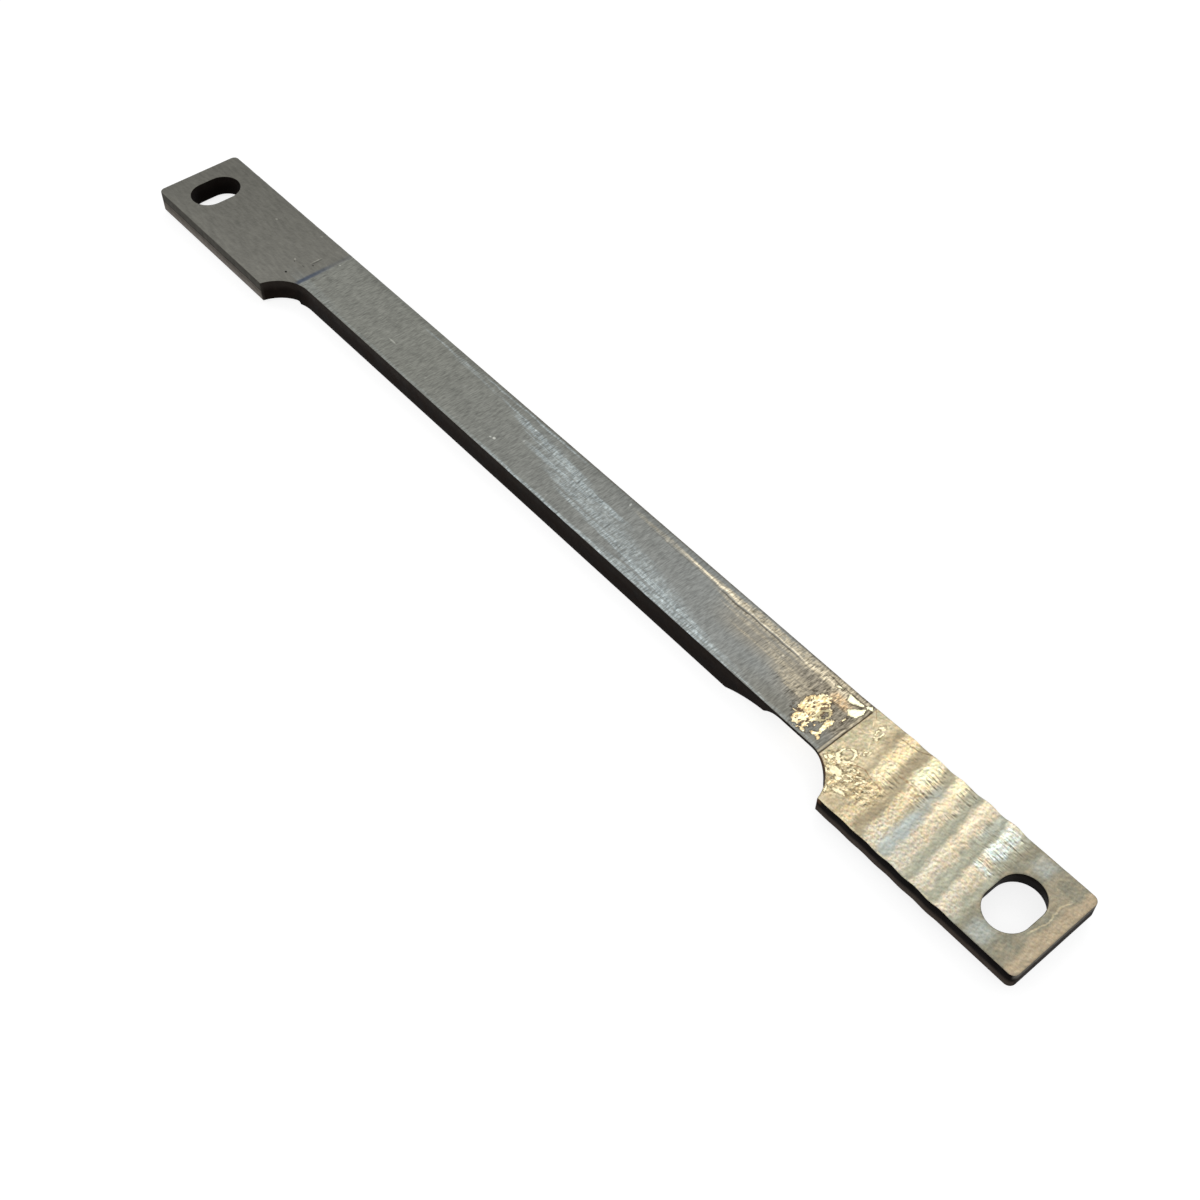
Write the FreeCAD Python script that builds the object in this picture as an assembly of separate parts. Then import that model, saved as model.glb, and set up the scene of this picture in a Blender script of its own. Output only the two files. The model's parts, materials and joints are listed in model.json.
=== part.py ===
import FreeCAD, Part
import math
import os
from FreeCAD import Vector

# Sewing machine fixed knife: one steel bar with a slotted tab at each end.
# Millimetres. X runs along the knife, from the plain end (-X) to the cutting end (+X).
# Y runs across it: the straight edge is on the +Y side, the tabs stand out on the -Y side.
# Z = 0 is the underside of the bar. The origin is midway along the knife and across the tabs.

# Plan
knife_length = 137.0
tab_width = 11.0
bar_width = 7.45
notch_radius = 4.7        # the arc where the bar opens out into a tab
plain_notch_from_end = 27.5     # from the end of the knife to the centre of that arc
cutting_notch_from_end = 27.35
corner_radius = 0.7       # outer corners of the tabs

# Thicknesses, all measured from the ground top face of the bar
bar_thickness = 3.0
plain_tab_depth = 2.55    # down to the underside of the plain tab
cutting_tab_depth = 1.85  # down to the underside of the cutting tab, which is forged thinner
plain_tab_proud = 0.04    # the tabs were not ground, so their tops stand a little proud
cutting_tab_proud = 0.05
plain_step_from_end = 25.8
cutting_step_from_end = 26.05
step_fillet = 0.3         # in the corner under each tab, where it meets the bar

# Screw slots, with their long axis across the knife
slot_width = 4.5
slot_length = 6.25
slot_from_end = 4.58
slot_from_straight_edge = 5.7
slot_rim_break = 0.1

# Forging ripples across the top of the cutting tab
ripple_pitch = 3.0
ripple_count = 5
ripple_from_step = 3.1    # from the tab's step to the first valley
first_ripple_height = 0.07
last_ripple_height = 0.18
tab_spread = 0.1          # what the forging added to the tab on each side
edge_ripple_share = 0.4   # how far a crest swells the sides, as a share of its height
spread_run = 5.0          # length over which the bar widens into the spread tab

# Relief ground under the cutting edge, in two passes of a bevelled wheel
relief_angle = 35.0
rough_wheel_radius = 15.4
rough_land = 1.2          # edge thickness that the first pass leaves
rough_start_from_end = 31.3
rough_end_from_end = 30.0
fine_wheel_radius = 2.8
fine_land = 0.38          # edge thickness that the second pass leaves
fine_start_from_end = 31.2
fine_end_from_end = 26.6

cut_margin = 1.0          # how far a cutter runs past the metal

plain_end = -knife_length / 2
cutting_end = knife_length / 2
straight_edge = tab_width / 2
tab_edge = -tab_width / 2
bar_edge = straight_edge - bar_width
plain_step = plain_end + plain_step_from_end
cutting_step = cutting_end - cutting_step_from_end
ripple_start = cutting_step + ripple_from_step
ripple_end = ripple_start + ripple_count * ripple_pitch


def ripple(x):
    """Height of the ripples at x: a raised cosine whose crests grow along the tab."""
    if x <= ripple_start or x >= ripple_end:
        return 0.0
    share = (x - ripple_start) / (ripple_end - ripple_start)
    height = first_ripple_height + (last_ripple_height - first_ripple_height) * share
    turn = 2 * math.pi * (x - ripple_start) / ripple_pitch
    return height * (1 - math.cos(turn)) / 2


def spread(x):
    """How far the sides of the knife stand out at x, past the width of the blank."""
    share = (x - (cutting_step - spread_run / 2)) / spread_run
    share = min(1.0, max(0.0, share))
    return tab_spread * share * share * (3 - 2 * share) + edge_ripple_share * ripple(x)


def ripple_places(first, last):
    """Places from first to last for a curve through the ripples: an eighth of a pitch apart, crests included."""
    step = ripple_pitch / 8
    lowest = math.floor((first - ripple_start) / step + 0.5) + 1
    highest = math.ceil((last - ripple_start) / step - 0.5) - 1
    return [first] + [ripple_start + i * step for i in range(lowest, highest + 1)] + [last]


def curve_through(points):
    curve = Part.BSplineCurve()
    curve.interpolate(points)
    return curve.toShape()


def line(a, b):
    return Part.makeLine(a, b)


def arc(a, middle, b):
    return Part.Arc(a, middle, b).toShape()


def corner_arc(centre, start_angle, end_angle, radius):
    """Quarter arc in plan about a centre, from one angle to the other, in degrees."""
    places = []
    for angle in (start_angle, (start_angle + end_angle) / 2, end_angle):
        turn = math.radians(angle)
        places.append(centre + Vector(radius * math.cos(turn), radius * math.sin(turn), 0))
    return arc(*places), places[0], places[2]


def notch(centre_x, side, edge_y):
    """Edges from the bar's edge to a tab's edge: an arc of a quarter turn at most, then a straight wall.

    side is -1 towards the plain end and 1 towards the other. Returns the edges and their two ends.
    """
    centre = Vector(centre_x, bar_edge - notch_radius, 0)
    rise = max(0.0, edge_y - centre.y)
    end_angle = math.degrees(math.atan2(rise, side * math.sqrt(notch_radius ** 2 - rise ** 2)))
    bend, start, end = corner_arc(centre, 90.0, end_angle, notch_radius)
    foot = Vector(end.x, edge_y, 0)
    if end.y - edge_y > 1e-6:
        return [bend, line(end, foot)], start, foot
    return [bend], start, end


def plan_face():
    """The outline seen from above, clockwise from the plain end's upper corner."""
    r = corner_radius
    end_spread = spread(cutting_end - r)
    near_edge = straight_edge + end_spread
    near_tab_edge = tab_edge - end_spread
    spread_start = cutting_step - spread_run / 2
    plain_upper, a0, a1 = corner_arc(Vector(plain_end + r, straight_edge - r, 0), 180, 90, r)
    near_upper, b0, b1 = corner_arc(Vector(cutting_end - r, near_edge - r, 0), 90, 0, r)
    near_lower, c0, c1 = corner_arc(Vector(cutting_end - r, near_tab_edge + r, 0), 0, -90, r)
    plain_lower, d0, d1 = corner_arc(Vector(plain_end + r, tab_edge + r, 0), -90, -180, r)
    near_notch, e0, e1 = notch(cutting_end - cutting_notch_from_end, 1, tab_edge - tab_spread)
    plain_notch, f0, f1 = notch(plain_end + plain_notch_from_end, -1, tab_edge)
    upper_side = [Vector(x, straight_edge + spread(x), 0) for x in ripple_places(spread_start, b0.x)]
    lower_side = [Vector(x, tab_edge - spread(x), 0) for x in ripple_places(e1.x, c1.x)]
    lower_side[0] = e1
    edges = [
        plain_upper,
        line(a1, upper_side[0]),
        curve_through(upper_side),
        near_upper,
        line(b1, c0),
        near_lower,
        curve_through(lower_side),
        *near_notch,
        line(e0, f0),
        *plain_notch,
        line(f1, d0),
        plain_lower,
        line(d1, a0),
    ]
    return Part.Face(Part.Wire(Part.__sortEdges__(edges)))


def side_face():
    """The thicknesses seen from the side: undersides stepped up at the tabs, ripples on top."""
    y = tab_edge - tab_width
    top = bar_thickness
    plain_under = top - plain_tab_depth
    near_under = top - cutting_tab_depth
    f = step_fillet
    bow = f * (1 - math.sqrt(0.5))

    def at(x, z):
        return Vector(x, y, z)

    near_top = top + cutting_tab_proud
    end_top = near_top + ripple(cutting_end)
    last_ripple = min(ripple_end, cutting_end)
    crests = [at(x, near_top + ripple(x)) for x in ripple_places(ripple_start, last_ripple)]
    plain_face_end = at(plain_step - f, plain_under)
    plain_wall_top = at(plain_step, plain_under - f)
    near_wall_top = at(cutting_step, near_under - f)
    near_face_start = at(cutting_step + f, near_under)
    edges = [
        line(at(plain_end, plain_under), plain_face_end),
        arc(plain_face_end, at(plain_step - bow, plain_under - bow), plain_wall_top),
        line(plain_wall_top, at(plain_step, 0)),
        line(at(plain_step, 0), at(cutting_step, 0)),
        line(at(cutting_step, 0), near_wall_top),
        arc(near_wall_top, at(cutting_step + bow, near_under - bow), near_face_start),
        line(near_face_start, at(cutting_end, near_under)),
        line(at(cutting_end, near_under), at(cutting_end, end_top)),
        curve_through(crests),
        line(crests[0], at(cutting_step, near_top)),
        line(at(cutting_step, near_top), at(cutting_step, top)),
        line(at(cutting_step, top), at(plain_step, top)),
        line(at(plain_step, top), at(plain_step, top + plain_tab_proud)),
        line(at(plain_step, top + plain_tab_proud), at(plain_end, top + plain_tab_proud)),
        line(at(plain_end, top + plain_tab_proud), at(plain_end, plain_under)),
    ]
    if last_ripple < cutting_end:
        edges.append(line(crests[-1], at(cutting_end, end_top)))
    return Part.Face(Part.Wire(Part.__sortEdges__(edges)))


def blank():
    """The side profile swept across the knife and trimmed to the outline."""
    plan = plan_face().extrude(Vector(0, 0, 2 * bar_thickness))
    side = side_face().extrude(Vector(0, 3 * tab_width, 0))
    return plan.common(side)


def obround(centre, width, length):
    """Outline of a slot with round ends and its length along Y."""
    r = width / 2
    reach = (length - width) / 2
    lower_left = centre + Vector(-r, -reach, 0)
    lower_right = centre + Vector(r, -reach, 0)
    upper_left = centre + Vector(-r, reach, 0)
    upper_right = centre + Vector(r, reach, 0)
    return Part.Wire([
        line(lower_right, upper_right),
        arc(upper_right, centre + Vector(0, length / 2, 0), upper_left),
        line(upper_left, lower_left),
        arc(lower_left, centre + Vector(0, -length / 2, 0), lower_right),
    ])


def slot_cutter(x, under, top):
    """A slot through a tab, with its rim broken on both faces."""
    centre = Vector(x, straight_edge - slot_from_straight_edge, 0)
    b = slot_rim_break
    through = Part.Face(obround(centre + Vector(0, 0, under - cut_margin), slot_width, slot_length))
    cutter = through.extrude(Vector(0, 0, top - under + 2 * cut_margin))
    for face, inwards in ((under, 1), (top, -1)):
        wide = obround(centre + Vector(0, 0, face - inwards * b), slot_width + 4 * b, slot_length + 4 * b)
        narrow = obround(centre + Vector(0, 0, face + inwards * b), slot_width, slot_length)
        cutter = cutter.fuse(Part.makeLoft([wide, narrow], True, True))
    return cutter


def relief_pass(wheel_radius, land, start, end):
    """One pass of the wheel under the cutting edge, with the wheel's run-out at both ends.

    The section is flat outside the bar's edge, and falls at the relief angle inside it.
    """
    floor = bar_thickness - land
    hub = floor - wheel_radius
    below = max(-cut_margin, hub)
    run = (floor - below) / math.tan(math.radians(relief_angle))
    outside = tab_edge - tab_spread - cut_margin
    corners = [(outside, below), (outside, floor), (bar_edge, floor), (bar_edge + run, below)]

    def section(x):
        points = [Vector(x, y, z) for y, z in corners]
        return Part.Face(Part.makePolygon(points + [points[0]]))

    cutter = section(start).extrude(Vector(end - start, 0, 0))
    for x, turn in ((start, -90), (end, 90)):
        cutter = cutter.fuse(section(x).revolve(Vector(x, 0, hub), Vector(0, 1, 0), turn))
    return cutter


def fixed_knife():
    knife = blank()
    plain_slot = plain_end + slot_from_end
    near_slot = cutting_end - slot_from_end
    top = bar_thickness
    knife = knife.cut(slot_cutter(plain_slot, top - plain_tab_depth, top + plain_tab_proud))
    knife = knife.cut(slot_cutter(near_slot, top - cutting_tab_depth, top + cutting_tab_proud))
    passes = (
        (rough_wheel_radius, rough_land, rough_start_from_end, rough_end_from_end),
        (fine_wheel_radius, fine_land, fine_start_from_end, fine_end_from_end),
    )
    for wheel_radius, land, start, end in passes:
        knife = knife.cut(relief_pass(wheel_radius, land, cutting_end - start, cutting_end - end))
    return knife.removeSplitter()


os.makedirs("parts", exist_ok=True)
knife = fixed_knife()
box = knife.BoundBox
print("solids", len(knife.Solids), "valid", knife.isValid(), "volume", round(knife.Volume, 2))
print("box", [round(v, 4) for v in (box.XMin, box.YMin, box.ZMin, box.XMax, box.YMax, box.ZMax)])
knife.Solids[0].exportStep("parts/fixed_knife.step")
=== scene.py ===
import json
import math

import bpy
import numpy as np
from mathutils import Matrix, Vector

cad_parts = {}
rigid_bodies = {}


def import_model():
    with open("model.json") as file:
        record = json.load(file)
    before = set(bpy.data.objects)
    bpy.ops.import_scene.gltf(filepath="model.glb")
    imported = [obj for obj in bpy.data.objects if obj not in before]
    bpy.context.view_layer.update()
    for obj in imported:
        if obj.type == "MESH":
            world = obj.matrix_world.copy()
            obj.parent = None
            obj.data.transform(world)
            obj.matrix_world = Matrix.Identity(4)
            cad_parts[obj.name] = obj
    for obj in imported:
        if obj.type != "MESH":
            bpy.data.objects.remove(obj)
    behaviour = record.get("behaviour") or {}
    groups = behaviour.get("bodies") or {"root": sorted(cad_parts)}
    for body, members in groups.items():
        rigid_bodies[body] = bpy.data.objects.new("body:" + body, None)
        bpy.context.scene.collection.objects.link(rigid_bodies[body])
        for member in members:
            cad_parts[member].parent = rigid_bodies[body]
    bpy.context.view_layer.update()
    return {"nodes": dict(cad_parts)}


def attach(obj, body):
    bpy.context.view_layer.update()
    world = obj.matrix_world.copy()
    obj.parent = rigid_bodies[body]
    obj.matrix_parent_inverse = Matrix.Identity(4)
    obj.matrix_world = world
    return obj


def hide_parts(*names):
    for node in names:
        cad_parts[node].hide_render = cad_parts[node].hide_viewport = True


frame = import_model()
print("frame loaded:", sorted(frame["nodes"]))

# The knife lies along X in millimetres until its mesh is made, with the cutting end at +X.
knife = {
    "length": 137.0,
    "tabWidth": 11.0,
    "barWidth": 7.45,
    "thickness": 3.0,
    "cornerRadius": 0.7,
    "notchRadius": 4.7,
    "plainNotchFromEnd": 27.5,
    "cuttingNotchFromEnd": 27.35,
    "plainStepFromEnd": 25.8,
    "cuttingStepFromEnd": 26.05,
    "plainUnder": 0.45,       # underside of the plain tab
    "cuttingUnder": 1.15,     # underside of the cutting tab
    "stepFillet": 0.3,
    "plainProud": 0.04,
    "cuttingProud": 0.05,
    "tabSpread": 0.0995,      # a hair under the solid's 0.1, so that this body stays inside it
    "spreadRun": 5.0,
}

slot = {
    "width": 4.5,
    "length": 6.25,
    "fromEnd": 4.58,
    "y": -0.2,
    "rim": 0.1,
    "flare": 0.25,            # the punch broke out this much wider under the cutting tab
}

ripples = {
    "start": 45.55,
    "pitch": 3.0,
    "count": 5,
    "firstHeight": 0.07,
    "lastHeight": 0.18,
    "edgeShare": 0.4,         # how much of a crest swells the sides
    "leanAt": [48.0, 60.0],   # the ripples lean this much at these places, in mm along for each mm across
    "lean": [0.165, 0.1],
    "atEdge": 0.72,           # share of their height that is left at the tab's lower edge
    "gain": 0.25,             # what that share gains up to this far across
    "gainUpTo": 1.0,
}

relief = {
    "angle": 35.0,
    "passes": [
        # wheel radius, land left on the edge, start and end from the cutting end
        (15.4, 1.2, 31.3, 30.0),
        (2.8, 0.38, 31.2, 26.6),
    ],
}

# How worn the edges are, as radii.
edges = {
    "bar": 0.05,
    "plainTab": 0.13,
    "cuttingTab": 0.09,
    "cuttingEdge": 0.025,
    "under": 0.06,
    "change": 0.4,            # they change over this much on both sides of a step
    "keenTop": (35.5, 36.6, 42.2, 43.2),      # where the cutting edge turns keen and where it ends
    "keenUnder": (34.0, 36.0, 43.6, 45.0),
}

# The rest of the top face: the tabs' rise at their steps, the hammered skin and the scribed line.
face = {
    "plainRise": 0.06,        # half the run of each rise
    "cuttingRise": 0.05,
    "hammered": [(0.9, 0.6, 21, 0.016), (0.3, 0.2, 22, 0.012)],     # cell along and across, seed, height
    "calmAtEnd": 0.7,         # how much calmer the skin is round the slot
    "calmFrom": (60.5, 62.5),
    "scribeFromStep": 0.09,
    "scribeWidth": 0.07,
    "scribeDepth": 0.03,
    "scribeStops": (4.8, 4.95),
    "limit": 3.216,           # the solid's highest crest, less a hair
}

# How finely the mesh is cut. The long grid runs along the knife and hands over to rings round the slots.
grid = {
    "rows": 70,
    "blockEnd": 59.6,
    "plainTab": 28,           # columns in each stretch of the long grid
    "plainNotch": 26,
    "bar": 72,
    "relief": 58,
    "splashes": 70,
    "cuttingNotch": 46,
    "cuttingTab": 104,
    "reliefFrom": 28.0,
    "splashesFrom": 36.5,
    "atScribe": [-0.16, -0.09, -0.03, 0.03],  # more columns, from the cutting step
    "closest": 0.018,         # a column nearer than this to the last is left out
    "besideSlot": 44,         # points along each side past the long grid, round a corner and across the end
    "corner": 8,
    "endFace": 62,
    "rings": 20,
    "ringsUnder": 8,
}

half = knife["length"] / 2
straightEdge = knife["tabWidth"] / 2
tabEdge = -knife["tabWidth"] / 2
barEdge = straightEdge - knife["barWidth"]
plainStep = -half + knife["plainStepFromEnd"]
cuttingStep = half - knife["cuttingStepFromEnd"]
rippleEnd = ripples["start"] + ripples["count"] * ripples["pitch"]


def ease(v, low, high):
    # 0 below low, 1 above high and 3t^2 - 2t^3 between, where t is the share of the way
    t = np.clip((v - low) / (high - low), 0.0, 1.0)
    return t * t * (3 - 2 * t)


def rise(v, middle, reach):
    # the same ease, from reach below the middle to reach above it
    return ease(v, middle - reach, middle + reach)


def keenness(x, places):
    # 1 along the cutting edge: up between the first two places and down between the last two
    return ease(x, *places[:2]) * (1 - ease(x, *places[2:]))


def lattice(x, y, cellX, cellY, seed):
    # random heights on a lattice, blended between the four nearest by ease in x and y: about 0 to 1
    table = np.random.default_rng(seed).random((256, 256))
    u, v = x / cellX, y / cellY
    i, j = np.floor(u).astype(int), np.floor(v).astype(int)
    s, t = u - i, v - j
    s, t = s * s * (3 - 2 * s), t * t * (3 - 2 * t)
    i, j, i1, j1 = i % 256, j % 256, (i + 1) % 256, (j + 1) % 256
    low = table[i, j] * (1 - s) + table[i1, j] * s
    high = table[i, j1] * (1 - s) + table[i1, j1] * s
    return low * (1 - t) + high * t


def rippleHeight(x):
    # raised cosine of the pitch whose height grows evenly from the first crest to the last
    share = np.clip((x - ripples["start"]) / (rippleEnd - ripples["start"]), 0.0, 1.0)
    tall = ripples["firstHeight"] + (ripples["lastHeight"] - ripples["firstHeight"]) * share
    inside = (x > ripples["start"]) & (x < rippleEnd)
    turn = 2 * math.pi * (x - ripples["start"]) / ripples["pitch"]
    return np.where(inside, tall * (1 - np.cos(turn)) / 2, 0.0)


def spread(x):
    # what the forging added to each side: an ease into the tab, and a share of the ripple height
    return knife["tabSpread"] * rise(x, cuttingStep, knife["spreadRun"] / 2) \
        + ripples["edgeShare"] * rippleHeight(x)


def notchReach(edgeY):
    # half chord of the notch circle at a tab's edge: sqrt(R^2 - rise^2)
    return math.sqrt(knife["notchRadius"] ** 2 - (edgeY - barEdge + knife["notchRadius"]) ** 2)


plainNotch = -half + knife["plainNotchFromEnd"]
cuttingNotch = half - knife["cuttingNotchFromEnd"]
plainReach = notchReach(tabEdge)
cuttingReach = notchReach(tabEdge - knife["tabSpread"])


def lowerEdge(x):
    # the bar's edge, then the notch circle y = c - R + sqrt(R^2 - dx^2) at each end, then the tab's edge
    r = knife["notchRadius"]
    away = np.maximum(plainNotch - x, 0.0) + np.maximum(x - cuttingNotch, 0.0)
    y = barEdge - r + np.sqrt(np.maximum(r * r - away * away, 0.0))
    y = np.where(x < plainNotch - plainReach, tabEdge, y)
    return np.where(x > cuttingNotch + cuttingReach, tabEdge - spread(x), y)


def upperEdge(x):
    # the straight edge, swollen a little over the crests
    return straightEdge + spread(x)


def outline(edge, x, outward):
    # points on an edge and their outward normals, from the slope over a short span h each way
    h = 0.02
    y = edge(x)
    slope = (edge(x + h) - edge(x - h)) / (2 * h)
    size = np.sqrt(1 + slope * slope)
    normal = np.stack([-outward * slope / size, outward / size], -1)
    return np.stack([x, y], -1), normal


def fanned(x, y):
    # x moved back by how far the ripples lean at that distance from the straight edge
    return x - np.interp(x, ripples["leanAt"], ripples["lean"]) * (straightEdge - y)


def oval(x, y, cx, cy, rx, ry, turn=0.0):
    # distance inside an ellipse, about: (1 - |p / r|) times its shorter radius
    c, s = math.cos(math.radians(turn)), math.sin(math.radians(turn))
    u, v = (x - cx) * c + (y - cy) * s, (y - cy) * c - (x - cx) * s
    return (1 - np.sqrt((u / rx) ** 2 + (v / ry) ** 2)) * min(rx, ry)


def polygon(x, y, corners):
    # distance inside a convex polygon given anticlockwise: the least distance to its sides
    inside = np.full(np.shape(x), np.inf)
    for (ax, ay), (bx, by) in zip(corners, corners[1:] + corners[:1]):
        size = math.hypot(bx - ax, by - ay)
        inside = np.minimum(inside, ((bx - ax) * (y - ay) - (by - ay) * (x - ax)) / size)
    return inside


# Splashes of braze near the cutting tab. Each form is an ellipse: a centre, two radii and a turn in degrees.
# The sharp ones are polygons, and a ring has its thickness as well.
splash = {
    "patch": [
        (37.66, 1.1, 0.38, 1.1, 0), (38.4, 1.5, 0.7, 1.62, 0), (38.95, 2.4, 0.42, 0.5, -30),
        (39.05, 0.75, 0.52, 1.05, -8), (38.42, -0.75, 0.58, 0.7, 0), (39.5, -0.25, 0.36, 0.95, -18),
    ],
    "holes": [
        (37.72, 1.35, 0.1, 0.42, 0), (38.45, 1.2, 0.14, 0.17, 0), (38.97, 0.62, 0.13, 0.22, 20),
        (38.25, 0.06, 0.16, 0.1, 0), (39.25, -0.3, 0.34, 0.1, -25), (38.9, 2.15, 0.1, 0.34, -30),
        (38.25, -0.85, 0.08, 0.13, 0), (38.62, -0.82, 0.07, 0.16, 0), (39.2, 1.7, 0.16, 0.34, -35),
        (39.03, -0.85, 0.16, 0.3, 0), (38.2, 2.0, 0.07, 0.3, 0), (37.45, 2.35, 0.16, 0.14, 0),
        (38.7, 0.25, 0.1, 0.16, 30), (39.3, 0.35, 0.1, 0.2, -30),
    ],
    "solid": [
        (37.5, 1.0, 0.16, 0.75, 4), (38.1, 2.3, 0.28, 0.75, -12), (38.4, -1.22, 0.46, 0.17, 0),
        (40.72, 0.82, 0.35, 0.6, 0), (40.78, -0.05, 0.2, 0.6, 0), (40.52, -0.88, 0.38, 0.2, 42),
        (40.98, -0.86, 0.46, 0.2, -48), (39.55, -1.45, 0.38, 0.12, 5), (42.05, 5.05, 0.24, 0.22, 0),
        (41.34, 2.2, 0.1, 0.34, 0), (38.4, 4.62, 0.36, 0.12, 0), (37.65, -0.42, 0.3, 0.06, 0),
        (39.4, -0.95, 0.12, 0.3, -10), (39.75, 0.75, 0.22, 0.1, 0), (38.75, 3.1, 0.1, 0.18, 30),
        (39.35, 2.4, 0.32, 0.06, -20), (39.1, 3.5, 0.14, 0.1, 0),
    ],
    "sharp": [
        [(39.6, 4.82), (39.98, 4.02), (40.6, 4.18), (41.65, 4.82)],
        [(40.7, 3.4), (41.2, 2.9), (41.85, 3.2), (42.1, 4.1), (41.85, 4.65), (41.1, 3.85)],
    ],
    "onTab": [
        (44.08, -1.2, 0.2, 0.62, 38), (43.35, -1.55, 0.36, 0.22, 20), (44.75, -2.3, 0.7, 0.38, 8),
        (45.45, -2.7, 0.34, 0.24, 30), (46.5, -3.65, 0.62, 0.24, 18), (43.05, -2.0, 0.3, 0.12, -30),
        (45.45, -4.35, 0.1, 0.45, 32), (44.1, -2.95, 0.3, 0.12, -38), (46.1, -1.0, 0.5, 0.08, -10),
        (46.9, -1.95, 0.12, 0.26, 20), (45.5, -1.3, 0.14, 0.4, -40), (47.6, -2.6, 0.3, 0.1, 30),
    ],
    "rings": [
        (44.25, -0.4, 0.66, 0.92, -22, 0.1), (44.5, 3.6, 0.26, 0.76, 12, 0.06),
        (39.75, 1.15, 0.44, 0.8, -12, 0.085), (46.0, -2.1, 0.42, 0.34, 20, 0.07),
        (46.9, -1.4, 0.36, 0.3, -20, 0.06), (45.35, 1.2, 0.16, 0.4, -20, 0.05),
    ],
    "height": 0.03,
    "rise": (-0.02, 0.06),    # depths between which a splash rises to its height
    "push": 0.24,             # noise in cells of this size pushes the rims by up to half as much
    "gaps": 0.25,             # how much the patch is broken into islands, and how much more past some x
    "moreGaps": 0.16,
    "moreGapsFrom": (38.8, 39.6),
    "crumbs": 0.88,           # noise above this leaves a crumb, inside the crumbs' own ellipse
    "crumbField": (38.7, 1.0, 2.0, 2.9),
    "squared": 0.6,           # how little the sharp forms' sides are pushed
}


def splashDepth(x, y):
    # how far inside a splash each point is, in mm: the union of all its forms less the holes, that is the
    # greatest of their depths, cut by -depth of the holes, at places pushed about by noise
    push = splash["push"]
    px = x + push * (lattice(x, y, push, push, 11) - 0.5)
    py = y + push * (lattice(x, y, push, push, 12) - 0.5)
    patch = np.max([oval(px, py, *form) for form in splash["patch"]], axis=0)
    holes = np.max([oval(px, py, *form) for form in splash["holes"]], axis=0)
    gaps = splash["gaps"] + splash["moreGaps"] * ease(x, *splash["moreGapsFrom"])
    islands = (lattice(x, y, 0.3, 0.4, 13) * 0.6 + lattice(x, y, 0.22, 0.25, 14) * 0.4 - gaps) * 0.8
    depth = np.minimum(np.minimum(patch, islands), -holes)
    crumbs = (lattice(x, y, 0.2, 0.22, 18) - splash["crumbs"]) * 0.6
    depth = np.maximum(depth, np.minimum(crumbs, oval(x, y, *splash["crumbField"])))
    for form in splash["solid"] + splash["onTab"]:
        depth = np.maximum(depth, oval(px, py, *form))
    own = splash["squared"]
    for corners in splash["sharp"]:
        depth = np.maximum(depth, polygon(x * own + px * (1 - own), y * own + py * (1 - own), corners))
    uneven = 0.3 + 1.3 * lattice(x, y, 0.3, 0.3, 19)
    for *ring, thick in splash["rings"]:
        depth = np.maximum(depth, thick * uneven - np.abs(oval(px, py, *ring)))
    return depth


def topHeight(x, y):
    # the bar's top plus each tab's rise, ripples that lean and fade, and a hammered skin, less the
    # scribed line exp(-(d / width)^2), plus the splashes
    z = knife["thickness"] + knife["plainProud"] * rise(-x, -plainStep, face["plainRise"])
    z = z + knife["cuttingProud"] * rise(x, cuttingStep, face["cuttingRise"])
    fade = ripples["atEdge"] + ripples["gain"] * ease(y, tabEdge, ripples["gainUpTo"])
    z = z + rippleHeight(fanned(x, y)) * fade
    forged = ease(x, cuttingStep + 0.1, cuttingStep + 1.0)
    forged = forged * (1 - face["calmAtEnd"] * ease(x, *face["calmFrom"]))
    skin = sum(height * (lattice(x, y, *noise) - 0.5) for *noise, height in face["hammered"])
    z = z + forged * skin
    fromScribe = (x - cuttingStep + face["scribeFromStep"]) / face["scribeWidth"]
    inner, outer = face["scribeStops"]
    z = z - face["scribeDepth"] * np.exp(-fromScribe ** 2) * ease(-y, -outer, -inner)
    z = z + splash["height"] * ease(splashDepth(x, y), *splash["rise"])
    return np.minimum(z, face["limit"])


def reliefHeight(x, y):
    # each pass: flat at its land outside the bar's edge, falling at the relief angle inside it,
    # and past either end its height above the wheel's centre h becomes sqrt(h^2 - dx^2)
    z = np.full(np.shape(x), -1.0)
    for wheel, land, start, end in relief["passes"]:
        floor = knife["thickness"] - land
        hub = floor - wheel
        flat = floor - np.maximum(y - barEdge, 0.0) * math.tan(math.radians(relief["angle"]))
        away = np.maximum(half - start - x, 0.0) + np.maximum(x - half + end, 0.0)
        h = np.maximum(flat - hub, 0.0)
        z = np.maximum(z, hub + np.sqrt(np.maximum(h * h - away * away, 0.0)))
    return z


def edgeRadius(x, lower):
    # how worn the top edges are: soft on the tabs, crisp on the bar, keen on the cutting edge, and
    # up to a fifth more or less from place to place
    change = edges["change"]
    r = np.interp(x, [plainStep - change, plainStep + change, cuttingStep - change, cuttingStep + change],
                  [edges["plainTab"], edges["bar"], edges["bar"], edges["cuttingTab"]])
    if lower:
        keen = keenness(x, edges["keenTop"])
        r = r * (1 - keen) + edges["cuttingEdge"] * keen
    return r * (0.8 + 0.4 * lattice(x, x * 0 + (1.0 if lower else 2.0), 0.5, 1.0, 31))


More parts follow.
